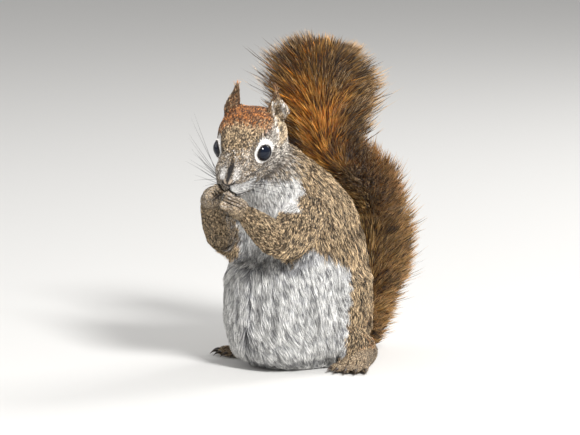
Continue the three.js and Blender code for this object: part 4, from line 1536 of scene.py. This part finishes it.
def growTail(piece, rng):
    look, count = tailCoat, tailCoat["hairs"]
    coreEnd = tailLook["coreEnd"]
    start, end = (coreEnd * share / look["pieces"] for share in (piece, piece + 1))
    root = start + (end - start) * rng.random(count)
    around = rng.random(count) * 2 * math.pi
    angle = np.arctan2(look["flat"] * np.sin(around), np.cos(around))
    facesBack = ramp(-np.sin(angle), -0.1, 0.5)
    lock = hairLocks(root, angle)
    lockTone = rng.random(lock.max() + 1)[lock]
    tip, out, far, lateral, share, loose = hairTips(root, angle, facesBack, lockTone, rng)

    coreRadius = np.interp(root, (0, coreEnd), tailLook["coreRadius"]) * mm * 0.8
    rootSpoke, tipSpoke = spoke(root * tailSteps, angle), spoke(tip * tailSteps, out)
    first = onLine(root * tailSteps, line) + rootSpoke * coreRadius[:, None]
    last = onLine(tip * tailSteps, line) + tipSpoke * far[:, None]
    long = np.linalg.norm(last - first, axis=1)[:, None]
    bow = (first + last) / 2 + rootSpoke * look["bow"] * long
    bow = bow - onLine(root * tailSteps, tailAhead) * look["drag"] * long
    bow += rng.normal(0, look["stray"], (count, 3)) * long
    centres = [first * (1 - s) ** 2 + bow * 2 * s * (1 - s) + last * s**2 for s in look["at"]]
    centres = gather(centres, look["at"], lock, rng.uniform(*look["pull"], count) * ~loose, 2)
    thick = look["width"] * mm / 2 * rng.uniform(*look["widths"], count)
    heading = unit(last - first)
    across = turned(unit(np.cross(heading, rootSpoke)), heading, rng.normal(0, look["roll"], count))
    sides = [across * (thick * wide)[:, None] for wide in look["shape"]]
    spots = np.stack([around / (2 * math.pi), (root - start) / (end - start)], axis=1)

    fan = ramp(root, *look["fan"])
    outer = lateral * ramp(share, 0.66, 0.88)
    fanTip = ramp(root, 0.7, 0.84) * ramp(share, 0.58, 0.82)
    fanBand = fan * np.maximum.reduce([outer, fanTip, look["darkBack"] * facesBack])
    # painted shadow: hairs that end where the tail passes behind the back get the black band
    bendShadow = look["dark"] * hump(last[:, 2] / mm, *look["shadowHeight"])
    band = np.maximum.reduce([fanBand, (1 - fan) * outer * look["darkSides"], bendShadow])
    values = {
        "band": band * rng.uniform(0.6, 1, count),
        "lower": np.maximum(1 - fan, look["lowerBack"] * facesBack),
        "shade": sharedShade(lock, look["ownShade"], rng),
    }
    mesh = bladeMesh(f"coatTail{piece + 1}", centres, sides, spots, values, look["at"], look["shape"])
    coat = addObject(mesh.name, mesh, materials["tailHair"])
    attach(coat, "root")


print("tail")
tailAhead, tailSide, tailOther = lineFrames(line)
tailEdge = tailReach()
tailWide = ramp(tailEdge / tailEdge.max(axis=1, keepdims=True), *tailCoat["wide"])
tailSteps = len(line) - 1
tailLength = np.linalg.norm(np.diff(line, axis=0), axis=1).sum() / mm
tailRandom = np.random.default_rng(21)
for piece in range(tailCoat["pieces"]):
    growTail(piece, tailRandom)


# eyes and nose

def makeEyes():
    for side in bothSides:
        middle, gaze, front, above = eyeFrame(side)
        mesh = ballMesh(f"eyeBall_{side}", 48, 32)
        ball = readPoints(mesh)
        bulge = 1 + eyeLook["bulge"] * ramp(ball[:, 2], 0.6, 1)
        away = ball[:, :1] * front + ball[:, 1:2] * above + ball[:, 2:] * gaze
        writePoints(mesh, middle + away * (eyeLook["radius"] * mm * bulge)[:, None])
        storeValues(mesh, "gaze", ball[:, 2])
        thing = addObject(mesh.name, mesh, materials["eye"])
        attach(thing, "root")
        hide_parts(f"eye_{side}")


noseLook = {
    "half": (3.1, 2.15, 1.8),  # out, back and up
    "shift": (0, 0.15, -0.5),
    "front": 0.3,  # the slits end this far behind its middle, as a share of half its depth
    "slit": ((2.8, 0, 1.1), (2.55, 0, 0.1), (1.6, 0, -0.75), (0, 0, -1.15)),  # from the nostril to below
    "slitWidth": (0.4, 0.55),  # at the middle and at the nostril
    "slitDepth": (0.4, 1.1),
    "nostril": (0.8, 2.2),  # mm out, where the slit turns into the nostril
    "rim": 0.15,  # mm that it stands up round the slit
    "narrow": 0.2,  # of the width at the bottom, toward the lip
    "cleft": 0.2, "cleftWidth": 0.25,
    "furred": (-0.7, 0.1),  # up from here its short fur hides the leather
    "stripe": (0.15, 0.75), "stripeFoot": (-0.9, 0.1),  # out and up, where its dark stripe fades
}


def makeNose():
    look = noseLook
    mesh = ballMesh("nosePad", 96, 72)
    ball = readPoints(mesh)
    place = ball * look["half"]
    place[:, 0] *= 1 - look["narrow"] * ramp(-ball[:, 2], 0.1, 1)
    place += look["shift"]
    flat = foldedFlat(place)
    outward = ramp(flat[:, 0], *look["nostril"])
    wide, deep = (a * (1 - outward) + b * outward for a, b in (look["slitWidth"], look["slitDepth"]))
    away = nearLine(flat, curveThrough(look["slit"], 24))
    ahead = ball[:, 1] < look["front"]
    slit = hump(away, 0, wide) * ahead
    rim = hump(away, 1.5 * wide, 0.3) * ahead
    place[:, 1] += slit * deep - rim * look["rim"]
    place[:, 1] += look["cleft"] * hump(place[:, 0], 0, look["cleftWidth"]) * ramp(-ball[:, 2], -0.2, 0.5)
    writePoints(mesh, fromHead(place))
    stripe = (1 - ramp(flat[:, 0], *look["stripe"])) * ramp(flat[:, 2], *look["stripeFoot"])
    # painted shade: under is dark below the slits' line, where the pad's underside is
    outs, _, ups = np.transpose(look["slit"][::-1])
    under = ramp(np.interp(flat[:, 0], outs, ups) - flat[:, 2], -0.2, 0.2)
    storeValues(mesh, "furred", ramp(flat[:, 2], *look["furred"]))
    # hollow holds painted shade in the slits and under the pad, and the real dark stripe of fur
    storeValues(mesh, "hollow", np.clip(np.maximum.reduce([slit * 1.6, stripe, under]), 0, 1))
    thing = addObject(mesh.name, mesh, materials["noseLeather"])
    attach(thing, "root")
    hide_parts("nose")


# claws and whiskers, as tubes

def tubesMesh(name, tubes, around):  # each tube is a route and its radii
    mesh = joinMeshes(name, [tubeMesh(name + "Tube", route, radii, around) for route, radii in tubes])
    shadeSmooth(mesh)
    shares = [np.repeat(np.linspace(0, 1, len(route)), around) for route, _ in tubes]
    storeValues(mesh, "along", np.concatenate(shares))
    return mesh


clawLook = {"reachBack": 1.6, "steps": 9, "around": 10, "foot": 0.75, "hand": 0.55, "bow": 0.14}


def clawTube(name, limb, side):
    root, tip = clawBase(name, f"{limb}_{side}")
    root = root + unit(root - tip) * clawLook["reachBack"] * mm
    t = np.linspace(0, 1, clawLook["steps"])[:, None]
    long = np.linalg.norm(tip - root)
    up = np.array([0, 0, 1.0]) if limb == "foot" else unit(boxMiddle("nose") - root)
    up = up - unit(tip - root) * (up @ unit(tip - root))
    radii = clawLook[limb] * mm * np.clip(1 - t[:, 0] ** 1.5, 0.06, 1)
    radii[0] *= 0.3
    return root + (tip - root) * t + unit(up) * long * clawLook["bow"] * 4 * t * (1 - t), radii


def makeClaws():
    for limb in ("foot", "hand"):
        for side in bothSides:
            names = [name for name in clawNodes if name.startswith(f"claw_{limb}_{side}")]
            tubes = [clawTube(name, limb, side) for name in names]
            mesh = tubesMesh(f"claws_{limb}_{side}", tubes, clawLook["around"])
            thing = addObject(mesh.name, mesh, materials["claw"])
            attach(thing, "root")
            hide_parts(*names)


whiskerLook = {
    "rows": 4, "inRow": 4,
    "first": (3.2, 4.0, -0.8), "backStep": 1.7, "downStep": 1.35, "outStep": 0.4,
    "length": (20, 42), "radius": 0.11,
    "steps": 12, "around": 5,
}


def whiskerTube(row, place, sign, tree, rng):
    look = whiskerLook
    out, back, up = look["first"]
    back += look["backStep"] * place + rng.uniform(-0.3, 0.3)
    up -= look["downStep"] * row + rng.uniform(-0.2, 0.2)
    root = fromHead([sign * (out + look["outStep"] * back), back, up])
    root = np.array(tree.find_nearest(root.tolist())[0])
    low, high = look["length"]
    long = (low + (high - low) * (place + 1) / look["inRow"]) * rng.uniform(0.8, 1.1)
    outward, upward = rng.uniform(0.6, 0.9), 0.3 - 0.3 * row + rng.normal(0, 0.1)
    aim = unit(np.array([sign * outward, 0.6 + 0.12 * place, upward])) @ headFrame
    sag = np.array([0, 0, -1.0]) * rng.uniform(0.05, 0.3) + headFrame[1] * rng.uniform(0.1, 0.45)
    t = np.linspace(0, 1, look["steps"])[:, None]
    radii = look["radius"] * mm * (1 - 0.85 * t[:, 0])
    radii[-1] *= 0.3
    return root + (aim * (t - 0.02) + sag * t**2 * 0.5) * long * mm, radii


def makeWhiskers():
    rng = np.random.default_rng(5)
    tree = BVHTree.FromPolygons(points.tolist(), triangles.tolist())
    spots = [(row, place) for row in range(whiskerLook["rows"]) for place in range(whiskerLook["inRow"])]
    for side, sign in zip(bothSides, (1, -1)):
        tubes = [whiskerTube(row, place, sign, tree, rng) for row, place in spots]
        mesh = tubesMesh(f"whiskers_{side}", tubes, whiskerLook["around"])
        thing = addObject(mesh.name, mesh, materials["whisker"])
        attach(thing, "root")


print("eyes, nose, claws and whiskers")
makeEyes()
makeNose()
makeClaws()
makeWhiskers()


# floor, light and camera

studio = {
    "floorSize": 30, "worldColor": (0.83, 0.83, 0.83, 1), "worldPower": 0.5,
    "aim": (0, 0, 0.07),  # metres, as are the lights' places and sizes
    "lights": {  # place, size and power
        "key": ((1.05, -0.45, 0.95), 0.3, 26.5),
        "fill": ((-1.0, -0.6, 0.6), 0.9, 3),
        "rim": ((0.2, 1.1, 0.9), 0.6, 10),
    },
}
view = {
    "azimuth": 40, "elevation": 8,  # degrees
    "distance": 2000, "frameWidth": 266.8,  # mm
    "right": -4.6, "up": 66.5,  # of the frame's middle, from the middle of the animal's base
    "baseShift": (0, 2.03, 0),
}


def makeCamera():
    a, e = math.radians(view["azimuth"]), math.radians(view["elevation"])
    toCamera = np.array([math.sin(a) * math.cos(e), -math.cos(a) * math.cos(e), math.sin(e)])
    right = np.array([math.cos(a), math.sin(a), 0])
    up = np.cross(toCamera, right)
    target = (np.array(view["baseShift"]) + right * view["right"] + up * view["up"]) * mm
    data = bpy.data.cameras.new("camera")
    data.lens = data.sensor_width * view["distance"] / view["frameWidth"]
    data.clip_start = 0.1
    data.clip_end = 100
    camera = bpy.data.objects.new("camera", data)
    camera.location = target + toCamera * view["distance"] * mm
    camera.rotation_euler = Vector(-toCamera).to_track_quat("-Z", "Y").to_euler()
    bpy.context.scene.collection.objects.link(camera)
    bpy.context.scene.camera = camera


def makeFloor():
    half = studio["floorSize"] / 2
    corners = np.array([(-half, -half, 0), (half, -half, 0), (half, half, 0), (-half, half, 0)])
    newMaterial("floor")
    floor = addObject("floor", makeMesh("floor", corners, np.array([[0, 1, 2, 3]])), materials["floor"])


def makeLight():
    world = bpy.data.worlds.new("studio")
    bpy.context.scene.world = world
    world.use_nodes = True
    background = world.node_tree.nodes["Background"]
    background.inputs["Color"].default_value = studio["worldColor"]
    background.inputs["Strength"].default_value = studio["worldPower"]
    for name, (place, size, power) in studio["lights"].items():
        data = bpy.data.lights.new(name, "AREA")
        data.size = size
        data.energy = power
        light = bpy.data.objects.new(name, data)
        light.location = place
        aim = Vector(np.subtract(studio["aim"], place))
        light.rotation_euler = aim.to_track_quat("-Z", "Y").to_euler()
        bpy.context.scene.collection.objects.link(light)


print("floor, light and camera")
makeCamera()
makeFloor()
makeLight()
bpy.context.scene.view_settings.view_transform = "Standard"
